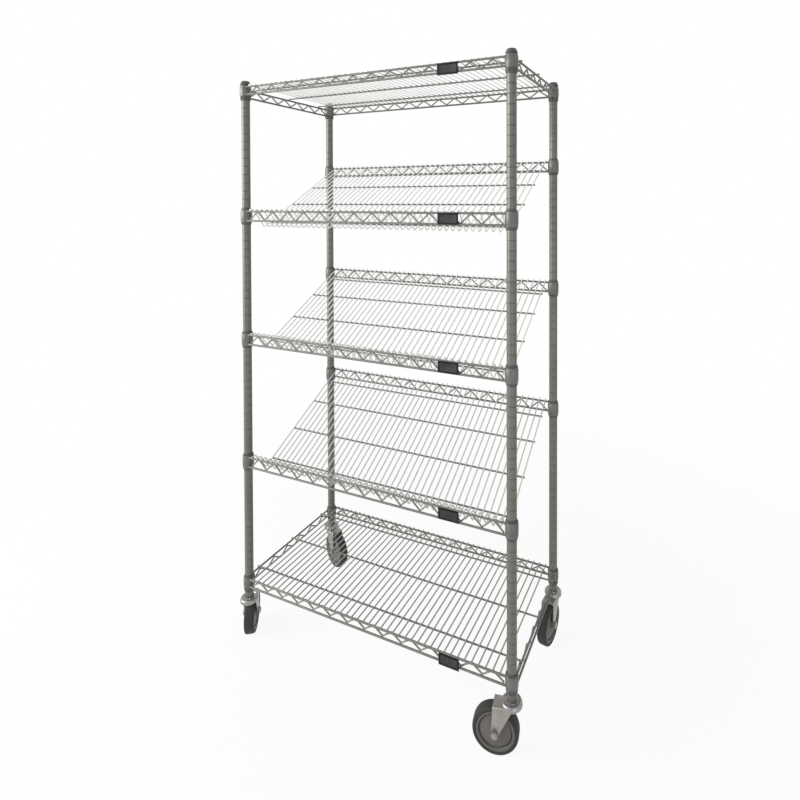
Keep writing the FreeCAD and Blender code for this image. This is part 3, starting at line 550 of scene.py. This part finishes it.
class RACK_OT_posts(bpy.types.Operator):
    """Model the four posts with a ring groove every inch"""
    bl_idname = "rack.posts"
    bl_label = "Posts"

    def execute(self, context):
        sizes = context.scene.rack_posts
        material = plated("Plated post", sizes.colour, smooth=0.42, rough=0.5, cloud=9.0,
                          dull=0.88, bump=0.03, metallic=0.45)
        # Painted shade for the faces inside the ring grooves.
        shade_in_grooves = plated("Groove painted shade", sizes.groove_shade_colour, smooth=0.5, rough=0.6, cloud=25.0,
                       dull=0.8, bump=0.05, metallic=0.3)
        first = shelf_heights("bottom")[0] - sizes.groove_pitch
        count = int((POST_HIGH - first) / sizes.groove_pitch)
        for corner in CORNERS:
            spot = middle(f"post_{corner}")
            post = self.one_groove(corner, spot, first - sizes.groove_pitch / 2, sizes)
            repeat(post, count, (0.0, 0.0, sizes.groove_pitch), merge=True)
            self.reach_ends(post)
            dress(post, material, "rack", f"post_{corner}", angle=50)
            self.darken_grooves(post, shade_in_grooves, spot, sizes)
        return {"FINISHED"}

    def one_groove(self, corner, spot, low, sizes):
        """One inch of tube with its groove half way up."""
        slant = sizes.groove_depth * sizes.groove_slant
        before = (sizes.groove_pitch - sizes.groove_width) / 2
        bottom = POST_R - sizes.groove_depth
        post = begin(f"post_tube_{corner}", bpy.ops.mesh.primitive_circle_add, vertices=28,
                     radius=POST_R, location=(spot.x, spot.y, low))
        radius = POST_R
        height = low
        for step, next_radius in ((before, POST_R), (slant, bottom),
                                  (sizes.groove_width - 2 * slant, bottom),
                                  (slant, POST_R), (before, POST_R)):
            height += step
            draw_to((0.0, 0.0, step), next_radius / radius, (spot.x, spot.y, height))
            radius = next_radius
        switch("OBJECT")
        settle(post)
        return post

    def reach_ends(self, post):
        """Carry both open ends on to the ends of the tube and close them."""
        for target, outermost in ((POST_LOW, min), (POST_HIGH, max)):
            edge = outermost(corner.co.z for corner in post.data.vertices)
            for corner in post.data.vertices:
                corner.select = abs(corner.co.z - edge) < NEAR
            for side in post.data.edges:
                side.select = all(post.data.vertices[end].select for end in side.vertices)
            for side in post.data.polygons:
                side.select = False
            switch("EDIT")
            draw_to((0.0, 0.0, target - edge))
            switch("OBJECT")
        switch("EDIT")
        close_up(post)

    def darken_grooves(self, post, shade_in_grooves, spot, sizes):
        """Give the sides that lie below the tube's face the painted shade of the grooves."""
        face = POST_R - sizes.groove_depth * 0.6
        post.data.materials.append(shade_in_grooves)
        for side in post.data.polygons:
            out = math.hypot(side.center.x - spot.x, side.center.y - spot.y)
            if POST_R / 2 < out < face:
                side.material_index = 1


class RACK_OT_caps(bpy.types.Operator):
    """Model the moulded caps on the post ends"""
    bl_idname = "rack.caps"
    bl_label = "Post caps"

    def execute(self, context):
        sizes = context.scene.rack_posts
        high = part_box("post_caps")[1]
        edge = 0.0005
        draft = 0.0004
        crown = 0.0026
        outer = high.x - HALF_X
        top = high.z
        skirt = SLEEVE_HIGH + edge
        bore = POST_R + FIT
        flat = POST_R - crown
        corners = (
            (bore, POST_HIGH), (bore, skirt), (outer - edge, skirt), (outer, skirt + edge),
            (outer - draft, skirt + 0.0014), (flat + 0.0016, top - 0.0012),
            (flat + 0.0009, top - 0.0004), (flat, top), (EYE, top),
        )
        cap = turned("post_cap_mouldings", corners, 32, spot=(-HALF_X, -HALF_Y))
        repeat_on_posts(cap)
        material = moulded("Cap plastic", sizes.cap_colour, dust_colour=(0.3, 0.3, 0.29, 1.0),
                           dust=0.25, rough=0.42)
        dress(cap, material, "rack", "post_caps", angle=35)
        return {"FINISHED"}


class RACK_OT_collars(bpy.types.Operator):
    """Model the shelf collars and the split sleeves inside them"""
    bl_idname = "rack.collars"
    bl_label = "Collars and sleeves"

    def execute(self, context):
        sizes = context.scene.rack_posts
        steel = plated("Plated collar", sizes.collar_colour, smooth=0.42, rough=0.52, cloud=30.0,
                       dull=0.85, bump=0.04, metallic=0.45)
        black = moulded("Sleeve plastic", sizes.sleeve_colour, dust_colour=(0.12, 0.12, 0.12, 1.0))
        zinc = plated("Zinc insert", sizes.insert_colour, smooth=0.35, rough=0.5)
        for shelf in SHELVES:
            self.collar(shelf, steel)
            sleeve = node_copy(f"sleeves_{shelf}", f"sleeve_halves_{shelf}")
            dress(sleeve, black, "rack", f"sleeves_{shelf}", angle=35)
        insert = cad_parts["post_inserts"]
        insert.data.materials.clear()
        insert.data.materials.append(zinc)
        return {"FINISHED"}

    def collar(self, shelf, steel):
        """Four rings with a swelled middle, round the sleeves of one shelf."""
        front, rear = shelf_heights(shelf)
        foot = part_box(f"collars_{shelf}")[0].z - front
        half = COLLAR_TALL / 2
        edge = 0.0006
        band = 0.004
        swell = 0.0055
        bore = SLEEVE_R + FIT
        narrow = COLLAR_R - 0.0007
        profile = (
            (bore, foot), (narrow - 0.0004, foot), (narrow, foot + edge), (narrow, foot + band),
            (COLLAR_R, foot + swell), (COLLAR_R, half - swell), (narrow, half - band),
            (narrow, half - edge), (narrow - edge, half), (bore - 0.0008, half), (bore, foot),
        )
        collar = turned(f"collar_rings_{shelf}", profile, 36, spot=(-HALF_X, -HALF_Y), base=front)
        repeat_on_posts(collar, rise=rear - front)
        dress(collar, steel, "rack", f"collars_{shelf}", angle=25)


# Shelves

class RACK_OT_trusses(bpy.types.Operator):
    """Model the rails and the bent wires between them"""
    bl_idname = "rack.trusses"
    bl_label = "Trusses"

    def execute(self, context):
        sizes = context.scene.rack_wires
        steel = wire_material("Truss wire", sizes.truss_colour)
        pale = wire_material("Zigzag wire", sizes.zigzag_colour)
        for shelf in SHELVES:
            front, rear = shelf_heights(shelf)
            apart = sizes.rails_apart_level if shelf in LEVEL_SHELVES else sizes.rails_apart
            low = front + (sizes.rails_apart / 2 - apart)
            self.rails(shelf, low, apart, rear - front, sizes, steel)
            self.zigzags(shelf, low, apart, rear - front, sizes, pale)
        return {"FINISHED"}

    def rails(self, shelf, low, apart, rise, sizes, steel):
        """Upper and lower rails, front and rear, and at the sides of a level shelf."""
        name = f"rail_wires_{shelf}"
        reach = HALF_X - COLLAR_R + sizes.rail_bite
        line = RAIL_OUT - sizes.rail_radius
        rail = straight_rod(name, sizes.rail_radius, (-reach, -line, low), ALONG_X, 2 * reach, 14)
        repeat(rail, 2, (0.0, 0.0, apart))
        repeat(rail, 2, (0.0, 2 * line, rise))
        if shelf in LEVEL_SHELVES:
            along = HALF_Y - COLLAR_R + sizes.rail_bite
            across = SIDE_RAIL_OUT - sizes.rail_radius
            side = straight_rod(f"side_{name}", sizes.rail_radius,
                                (-across, -along, low - sizes.side_drop), ALONG_Y, 2 * along, 14)
            repeat(side, 2, (0.0, 0.0, apart))
            repeat(side, 2, (2 * across, 0.0, 0.0))
            rail = join(name, [rail, side])
        dress(rail, steel, "rack", f"rails_{shelf}", angle=50)

    def zigzags(self, shelf, low, apart, rise, sizes, steel):
        """One bent wire against each pair of rails."""
        name = f"zigzag_wires_{shelf}"
        inside = 2 * sizes.rail_radius + sizes.zigzag_radius * sizes.zigzag_weld
        line = RAIL_OUT - inside
        reach = HALF_X - COLLAR_R - sizes.zigzag_gap
        low += sizes.zigzag_inside
        tall = apart - 2 * sizes.zigzag_inside
        wire = self.bent(name, (-reach, -line, low), ALONG_X, reach, sizes.waves, tall, sizes)
        repeat(wire, 2, (0.0, 2 * line, rise))
        if shelf in LEVEL_SHELVES:
            along = HALF_Y - COLLAR_R - sizes.zigzag_gap
            across = SIDE_RAIL_OUT - inside
            side = self.bent(f"side_{name}", (-across, -along, low - sizes.side_drop), ALONG_Y,
                             along, sizes.side_waves, tall, sizes)
            repeat(side, 2, (2 * across, 0.0, 0.0))
            wire = join(name, [wire, side])
        dress(wire, steel, "rack", f"zigzags_{shelf}", angle=60)

    def bent(self, name, start, direction, reach, waves, tall, sizes):
        """A wire bent in even waves, drawn as one wave and repeated."""
        along = Vector(direction)
        axis = along.cross(Vector((0.0, 0.0, 1.0))) * -1
        wave = 2 * reach / waves
        slope, run = wave_slope(wave / 2, tall, sizes.zigzag_bend)
        moves = [("bend", sizes.zigzag_bend, -slope, axis), ("run", run),
                 ("bend", sizes.zigzag_bend, 2 * slope, axis), ("run", run),
                 ("bend", sizes.zigzag_bend, -slope, axis)]
        wire = rod(name, sizes.zigzag_radius, start, direction, moves, sides=8)
        switch("OBJECT")
        settle(wire)
        repeat(wire, waves, along * wave, merge=True)
        select_only(wire)
        switch("EDIT")
        close_up(wire)
        return wire


def wave_slope(half_wave, tall, bend):
    """Slope of the straight runs of a bent wire, found by halving, and their length."""
    low, high = 0.1, 1.4
    for _ in range(40):
        slope = (low + high) / 2
        run = (half_wave - 2 * bend * math.sin(slope)) / math.cos(slope)
        reached = 2 * bend * (1 - math.cos(slope)) + run * math.sin(slope)
        if reached < tall:
            low = slope
        else:
            high = slope
    return slope, run


class RACK_OT_surfaces(bpy.types.Operator):
    """Model the surface wires and the cross wires under them"""
    bl_idname = "rack.surfaces"
    bl_label = "Shelf surfaces"

    def execute(self, context):
        sizes = context.scene.rack_wires
        steel = wire_material("Cross wire", sizes.cross_colour)
        # Painted reflection and painted shade: each shelf gets its own copy of the surface wire
        # plating, paler on the high shelves and darker on the low ones; new is the pale, lit end
        # of the blend.
        for shelf, painted_shade in zip(SHELVES, SHELF_PAINTED_SHADE):
            colour = [new + (shaded - new) * painted_shade for new, shaded in
                      zip(sizes.surface_lit_colour, sizes.surface_shade_colour)]
            pale = plated(f"Surface wire {shelf}", colour, smooth=0.35, rough=0.45, dull=0.88,
                          bump=0.03, metallic=1.0)
            left, right = self.outermost(shelf)
            if shelf in LEVEL_SHELVES:
                wire = self.level(shelf, left, sizes)
                cross = self.level_cross(shelf, sizes)
            else:
                wire = self.sloping(shelf, left, sizes)
                cross = self.sloping_cross(shelf, sizes)
            pitch = (right - left) / (sizes.surface_count - 1)
            repeat(wire, sizes.surface_count, (pitch, 0.0, 0.0))
            dress(wire, pale, "rack", f"surface_{shelf}", angle=60)
            dress(cross, steel, "rack", f"cross_wires_{shelf}", angle=60)
        return {"FINISHED"}

    def outermost(self, shelf):
        """Middles of the first and last surface wires, which are six-sided in the CAD."""
        low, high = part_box(f"surface_{shelf}")
        wire = extent("surface_top").z / 2 * HEXAGON
        return low.x + wire, high.x - wire

    def level(self, shelf, left, sizes):
        """The first surface wire of a level shelf."""
        low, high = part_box(f"surface_{shelf}")
        start = (left, low.y, high.z - sizes.surface_radius)
        return straight_rod(f"surface_wires_{shelf}", sizes.surface_radius, start, ALONG_Y,
                            high.y - low.y, 8)

    def level_cross(self, shelf, sizes):
        """Three cross wires, at the front, middle and rear of a level shelf."""
        low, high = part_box(f"cross_wires_{shelf}")
        along = high.y - sizes.cross_radius * HEXAGON
        wire = straight_rod(f"cross_wire_rods_{shelf}", sizes.cross_radius,
                            (low.x, -along, high.z - sizes.cross_radius), ALONG_X,
                            high.x - low.x, 12)
        repeat(wire, 3, (0.0, along, 0.0))
        return wire

    def slope(self, shelf, sizes):
        """Bend corner of a sloping wire and the angle of its long run."""
        front, rear = shelf_heights(shelf)
        rail = RAIL_OUT - sizes.rail_radius
        bend = Vector((0.0, sizes.hook_in - rail, front - sizes.rails_apart / 2 - sizes.hook_down))
        over = Vector((0.0, rail, rear + sizes.rails_apart / 2))
        line = over - bend
        touch = sizes.rail_radius + sizes.surface_radius
        angle = math.atan2(line.z, line.y) + math.asin(touch / line.length)
        return bend, angle

    def sloping(self, shelf, left, sizes):
        """Wire down from the rear rail, up again behind the front one and over it."""
        corner, angle = self.slope(shelf, sizes)
        front = shelf_heights(shelf)[0]
        rail = RAIL_OUT - sizes.rail_radius
        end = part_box(f"surface_{shelf}")[1].y
        down = Vector((0.0, -math.cos(angle), -math.sin(angle)))
        crest = Vector((0.0, sizes.hook_over - rail, front + sizes.rails_apart / 2
                        + sizes.rail_radius + sizes.surface_radius))
        rise = crest - corner
        climb = math.atan2(rise.z, -rise.y)
        trim = sizes.hook_bend * math.tan((angle + climb) / 2)
        crest_trim = sizes.hook_bend * math.tan(climb / 2)
        length = (end - sizes.slope_short - corner.y) / math.cos(angle)
        start = corner - down * length
        start.x = left
        moves = [("run", length - trim),
                 ("bend", sizes.hook_bend, -angle - climb, ALONG_X),
                 ("run", rise.length - trim - crest_trim),
                 ("bend", sizes.hook_bend, climb, ALONG_X),
                 ("run", end + crest.y - crest_trim)]
        wire = rod(f"surface_wires_{shelf}", sizes.surface_radius, start, down, moves,
                   sides=8, bend_steps=5)
        close_up(wire)
        return wire

    def sloping_cross(self, shelf, sizes):
        """Three cross wires under the lower part of a slope and one near its rear rail."""
        corner, angle = self.slope(shelf, sizes)
        low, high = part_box(f"cross_wires_{shelf}")
        name = f"cross_wire_rods_{shelf}"
        run = RAIL_OUT - sizes.rail_radius - corner.y
        below = sizes.surface_radius + sizes.cross_radius
        rods = []
        for back, count in ((sizes.cross_first, 3), (run - sizes.cross_last, 1)):
            place = corner + Vector((0.0, back + math.sin(angle) * below,
                                     back * math.tan(angle) - math.cos(angle) * below))
            wire = straight_rod(f"{name}_{count}", sizes.cross_radius, (low.x, place.y, place.z),
                                ALONG_X, high.x - low.x, 12)
            repeat(wire, count, (0.0, sizes.cross_step, sizes.cross_step * math.tan(angle)))
            rods.append(wire)
        return join(name, rods)


class RACK_OT_labels(bpy.types.Operator):
    """Model the blank label plates on the front rails"""
    bl_idname = "rack.labels"
    bl_label = "Label plates"

    def execute(self, context):
        sizes = context.scene.rack_labels
        plastic = moulded("Label plastic", sizes.colour, dust_colour=(0.03, 0.03, 0.03, 1.0),
                          dust=0.25, grain=500.0, bump=0.08, rough=0.4, specular=0.15)
        card = moulded("Label field", sizes.field_colour, dust_colour=(0.12, 0.115, 0.125, 1.0),
                       dust=0.4, grain=900.0, bump=0.1)
        front = shelf_heights("bottom")[0]
        size = extent("label_plates")
        spot = middle("label_plates")
        spot.z = front
        plate = begin("label_plate_mouldings", bpy.ops.mesh.primitive_cube_add, size=1.0,
                      location=spot)
        bpy.ops.transform.resize(value=(size.x, size.y, sizes.height), center_override=spot)
        switch("OBJECT")
        settle(plate)
        self.select_front(plate)
        switch("EDIT")
        bpy.ops.mesh.inset(thickness=sizes.rim, depth=0.0)
        bpy.ops.mesh.inset(thickness=sizes.recess_slant, depth=-sizes.recess)
        switch("OBJECT")
        plate.data.materials.append(plastic)
        plate.data.materials.append(card)
        for side in plate.data.polygons:
            side.material_index = 1 if side.select else 0
        soften(plate, sizes.edge, angle=50)
        repeat(plate, len(SHELVES), (0.0, 0.0, shelf_heights("slope_low")[0] - front))
        hang(plate, "rack", "label_plates", angle=35)
        return {"FINISHED"}

    def select_front(self, plate):
        """Select only the face that looks forwards."""
        for corner in plate.data.vertices:
            corner.select = False
        for side in plate.data.edges:
            side.select = False
        for side in plate.data.polygons:
            side.select = side.normal.y < -0.9


# Casters

def wheel_piece(name, corner, half, sides):
    """A round piece about the axle of one caster.

    half is one side of its section, as (radius, width) corners.
    """
    other_half = tuple((radius, -wide) for radius, wide in reversed(half))
    piece = turned(name, half + other_half + half[:1], sides)
    pivot = middle(f"post_{corner}")
    reach = (middle(f"caster_{corner}_tyre") - pivot).xy
    piece.matrix_world = (Matrix.Translation((pivot.x, pivot.y, 0.0))
                          @ Matrix.Rotation(math.atan2(reach.y, reach.x), 4, "Z")
                          @ Matrix.Translation((reach.length, 0.0, AXLE_HIGH))
                          @ Matrix.Rotation(math.pi / 2, 4, "X"))
    settle(piece)
    return piece


class RACK_OT_casters(bpy.types.Operator):
    """Model the covers, forks and axle bolts of the casters"""
    bl_idname = "rack.casters"
    bl_label = "Caster forks"

    def execute(self, context):
        sizes = context.scene.rack_casters
        bright = plated("Bright cover", sizes.cover_colour, smooth=0.22, rough=0.36, cloud=60.0,
                        dull=0.75)
        plate = plated("Fork plate", sizes.plate_colour, smooth=0.3, rough=0.48, cloud=45.0)
        bolt = plated("Bolt zinc", sizes.plate_colour, smooth=0.28, rough=0.4, cloud=120.0)
        for corner in CORNERS:
            self.cover(corner, bright)
            for part, name, material, slot, edge, angle in (
                    ("fork", "fork_plate", plate, "caster_plate", 0.0006, 50),
                    ("axle", "axle_bolt", bolt, "caster_bolt", 0.0005, 40)):
                node = f"caster_{corner}_{part}"
                piece = node_copy(node, f"{name}_{corner}")
                soften(piece, edge, angle)
                dress(piece, material, f"swivel_{corner}", node, angle=40)
        return {"FINISHED"}

    def cover(self, corner, bright):
        """Rounded bearing cover with a ring groove and the stem's collar, and the kingpin."""
        node = f"caster_{corner}_stem"
        spot = middle(f"post_{corner}").xy
        rim = extent(node).x / 2
        face = rim - 0.00002
        inner = rim - 0.0025
        edge = 0.0005
        foot = 0.1253
        depth = 0.004
        groove = POST_LOW - 0.0026
        collar = POST_R + 0.0006
        top = POST_LOW - FIT
        shoulder = [(rim - inwards, POST_LOW - down) for inwards, down in (
            (0.0006, 0.0034), (0.002, 0.0016), (0.0045, 0.0006), (0.0062, 0.0011))]
        corners = (
            (inner, foot + depth), (inner, foot), (rim - edge, foot), (face, foot + edge),
            (face, POST_LOW - 0.0052), *shoulder, (rim - 0.0075, groove),
            (collar + 0.001, groove), (collar, top), (EYE, top),
        )
        cover = turned(f"bearing_cover_{corner}", corners, 48, spot)
        pin = self.kingpin(corner, spot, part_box(node)[1].z)
        cover = join(f"bearing_cover_{corner}", [cover, pin])
        dress(cover, bright, "rack", node, angle=35)

    def kingpin(self, corner, spot, high):
        """Stem that goes up into the post, with the pin and its head below."""
        stem = 0.0063
        pin = 0.005
        head = 0.009
        head_top = 0.1217
        head_low = 0.1187
        neck = POST_LOW - 0.003
        return turned(f"kingpin_{corner}", (
            (EYE, high), (stem, high), (stem, neck), (pin, neck - 0.001), (pin, head_top),
            (head, head_top), (head, head_low + 0.0015), (head - 0.001, head_low),
            (0.003, head_low)), 24, spot)


class RACK_OT_wheels(bpy.types.Operator):
    """Model the wheel cores and their tyres"""
    bl_idname = "rack.wheels"
    bl_label = "Wheels"

    def execute(self, context):
        sizes = context.scene.rack_casters
        core = moulded("Wheel core", sizes.core_colour, dust_colour=(0.2, 0.19, 0.17, 1.0),
                       dust=0.35, rough=0.42)
        tread = moulded("Tyre rubber", sizes.tyre_colour, dust_colour=(0.1, 0.1, 0.095, 1.0),
                        dust=0.4, grain=450.0, bump=0.3, rough=0.6)
        for corner in CORNERS:
            self.core(corner, core)
            self.tyre(corner, tread)
        return {"FINISHED"}

    def core(self, corner, material):
        """Hub between the fork legs, domed discs, a ring groove and a stepped rim."""
        seat = WHEEL_R - 0.0102
        bore = 0.0051
        hub = 0.0126
        hub_wide = 0.0166
        edge = 0.0008
        disc_wide = 0.0108
        groove_wide = 0.0066
        rim_wide = 0.0136
        half = (
            (bore, hub_wide), (hub - edge, hub_wide), (hub, hub_wide - edge),
            (hub + edge, 0.0128), (0.0150, disc_wide + 0.001), (0.0380, disc_wide),
            (0.0398, disc_wide - edge), (0.0404, groove_wide + 0.0004), (0.0418, groove_wide),
            (0.0424, 0.0110), (0.0436, rim_wide - 0.0003), (0.0460, rim_wide),
            (seat, rim_wide - FIT),
        )
        piece = wheel_piece(f"wheel_core_{corner}", corner, half, 56)
        dress(piece, material, f"wheel_{corner}", f"caster_{corner}_core", angle=30)

    def tyre(self, corner, material):
        """Rubber tread with rounded shoulders."""
        seat = WHEEL_R - 0.01
        shoulder = [(WHEEL_R - down, wide) for down, wide in (
            (0.0052, 0.0149), (0.0028, 0.0142), (0.0012, 0.0126), (0.0003, 0.0100))]
        half = ((seat, 0.0135), (seat + 0.0015, 0.0148), *shoulder, (WHEEL_R, 0.0065))
        piece = wheel_piece(f"tyre_{corner}", corner, half, 72)
        dress(piece, material, f"wheel_{corner}", f"caster_{corner}_tyre", angle=40)


# Stage

def seen_rays(tree, place):
    """Add a node, Seen, that gives 1 for camera, glossy and transmission rays."""
    x, y = place
    node_at(tree, "Rays", "ShaderNodeLightPath", (x, y))
    node_at(tree, "Either", "ShaderNodeMath", (x + 200, y), operation="MAXIMUM")
    node_at(tree, "Seen", "ShaderNodeMath", (x + 400, y), operation="MAXIMUM")
    link(tree,
         ("Rays", "Is Camera Ray", "Either", 0),
         ("Rays", "Is Glossy Ray", "Either", 1),
         ("Either", 0, "Seen", 0),
         ("Rays", "Is Transmission Ray", "Seen", 1))


class RACK_OT_stage(bpy.types.Operator):
    """Lay the floor, set the lamps and stand the camera"""
    bl_idname = "rack.stage"
    bl_label = "Floor, lamps and camera"

    def execute(self, context):
        sizes = context.scene.rack_stage
        context.scene.view_settings.view_transform = "Standard"
        self.floor(sizes)
        self.lamp("Key lamp", (-2.7, -2.1, 1.9), aim_high=0.75, wide=2.6, power=sizes.key_power)
        self.lamp("Low lamp", (2.2, -2.2, 0.45), aim_high=0.25, wide=1.6, power=sizes.low_power)
        self.world(sizes)
        self.camera(sizes)
        return {"FINISHED"}

    def floor(self, sizes):
        """A wide floor under the wheels."""
        floor = begin("floor", bpy.ops.mesh.primitive_plane_add, size=sizes.floor_size,
                      location=(0.0, 0.0, 0.0))
        bpy.ops.mesh.subdivide(number_cuts=3)
        switch("OBJECT")
        floor.data.materials.append(self.floor_material(sizes))

    def floor_material(self, sizes):
        """Pale floor that keeps its shadows near the rack and fades to white around it."""
        material = bpy.data.materials.new("Pale floor")
        material.use_nodes = True
        tree = material.node_tree
        shader = tree.nodes["Principled BSDF"]
        shader.inputs["Base Color"].default_value = sizes.floor_colour
        shader.inputs["Roughness"].default_value = 0.9
        shader.inputs["Specular IOR Level"].default_value = 0.1
        node_at(tree, "Place", "ShaderNodeTexCoord", (-900, 0))
        node_at(tree, "Away", "ShaderNodeVectorMath", (-700, 0), operation="LENGTH")
        node_at(tree, "Fade", "ShaderNodeMapRange", (-500, 0), interpolation_type="SMOOTHSTEP",
                From_Min=0.7, From_Max=2.6, To_Min=sizes.floor_white)
        seen_rays(tree, (-500, -300))
        node_at(tree, "Share", "ShaderNodeMath", (-100, -150), operation="MULTIPLY")
        node_at(tree, "White", "ShaderNodeEmission", (100, -150))
        node_at(tree, "Blend", "ShaderNodeMixShader", (300, 0))
        link(tree,
             ("Place", "Object", "Away", 0),
             ("Away", "Value", "Fade", "Value"),
             ("Fade", "Result", "Share", 0),
             ("Seen", 0, "Share", 1),
             ("Share", 0, "Blend", 0),
             (shader.name, 0, "Blend", 1),
             ("White", 0, "Blend", 2),
             ("Blend", 0, "Material Output", "Surface"))
        return material

    def lamp(self, name, place, aim_high, wide, power):
        """A round lamp aimed at a height on the rack's axis."""
        bpy.ops.object.light_add(type="AREA", location=place)
        lamp = bpy.context.object
        lamp.name = name
        lamp.data.energy = power
        lamp.data.shape = "DISK"
        lamp.data.size = wide
        aim = Vector((0.0, 0.0, aim_high)) - Vector(place)
        lamp.rotation_euler = aim.to_track_quat("-Z", "Y").to_euler()

    def world(self, sizes):
        """Even light from all round that is seen as plain white."""
        world = bpy.data.worlds.new("Studio")
        bpy.context.scene.world = world
        world.use_nodes = True
        tree = world.node_tree
        tree.nodes.clear()
        seen_rays(tree, (-600, 200))
        node_at(tree, "Even", "ShaderNodeBackground", (0, 0), Color=WHITE,
                Strength=sizes.world_strength)
        node_at(tree, "White", "ShaderNodeBackground", (0, -150), Color=WHITE)
        node_at(tree, "Blend", "ShaderNodeMixShader", (200, 0))
        node_at(tree, "World", "ShaderNodeOutputWorld", (400, 0))
        link(tree,
             ("Seen", 0, "Blend", 0),
             ("Even", 0, "Blend", 1),
             ("White", 0, "Blend", 2),
             ("Blend", 0, "World", "Surface"))

    def camera(self, sizes):
        """Camera at the front right, with its lens shifted so that the posts stay upright."""
        bpy.ops.object.camera_add(location=sizes.camera_place, rotation=sizes.camera_turn)
        camera = bpy.context.object
        camera.name = "Photo camera"
        camera.data.sensor_width = 36.0
        camera.data.lens = sizes.lens
        camera.data.shift_x, camera.data.shift_y = sizes.shift
        camera.data.clip_end = 200.0
        bpy.context.scene.camera = camera


# Panel

class RACK_PT_panel(bpy.types.Panel):
    """Lists the steps that dress the rack"""
    bl_idname = "RACK_PT_panel"
    bl_label = "Bakery rack"
    bl_space_type = "VIEW_3D"
    bl_region_type = "UI"
    bl_category = "Rack"

    def draw(self, context):
        for step in STEPS:
            self.layout.operator(step.bl_idname)
        for name, _ in SETTINGS:
            box = self.layout.box()
            group = getattr(context.scene, name)
            for key in group.__annotations__:
                box.prop(group, key)


STEPS = (
    RACK_OT_posts,
    RACK_OT_caps,
    RACK_OT_collars,
    RACK_OT_trusses,
    RACK_OT_surfaces,
    RACK_OT_labels,
    RACK_OT_casters,
    RACK_OT_wheels,
    RACK_OT_stage,
)


def register():
    """Add the settings, the steps and the panel to Blender."""
    for name, group in SETTINGS:
        bpy.utils.register_class(group)
        setattr(bpy.types.Scene, name, bpy.props.PointerProperty(type=group))
    for step in STEPS:
        bpy.utils.register_class(step)
    bpy.utils.register_class(RACK_PT_panel)


def unregister():
    """Take them out again."""
    bpy.utils.unregister_class(RACK_PT_panel)
    for step in reversed(STEPS):
        bpy.utils.unregister_class(step)
    for name, group in reversed(SETTINGS):
        delattr(bpy.types.Scene, name)
        bpy.utils.unregister_class(group)


def main():
    """Model and dress every piece and set the stage."""
    register()
    bpy.ops.rack.posts()
    bpy.ops.rack.caps()
    bpy.ops.rack.collars()
    bpy.ops.rack.trusses()
    bpy.ops.rack.surfaces()
    bpy.ops.rack.labels()
    bpy.ops.rack.casters()
    bpy.ops.rack.wheels()
    bpy.ops.rack.stage()


if __name__ == "__main__":
    main()
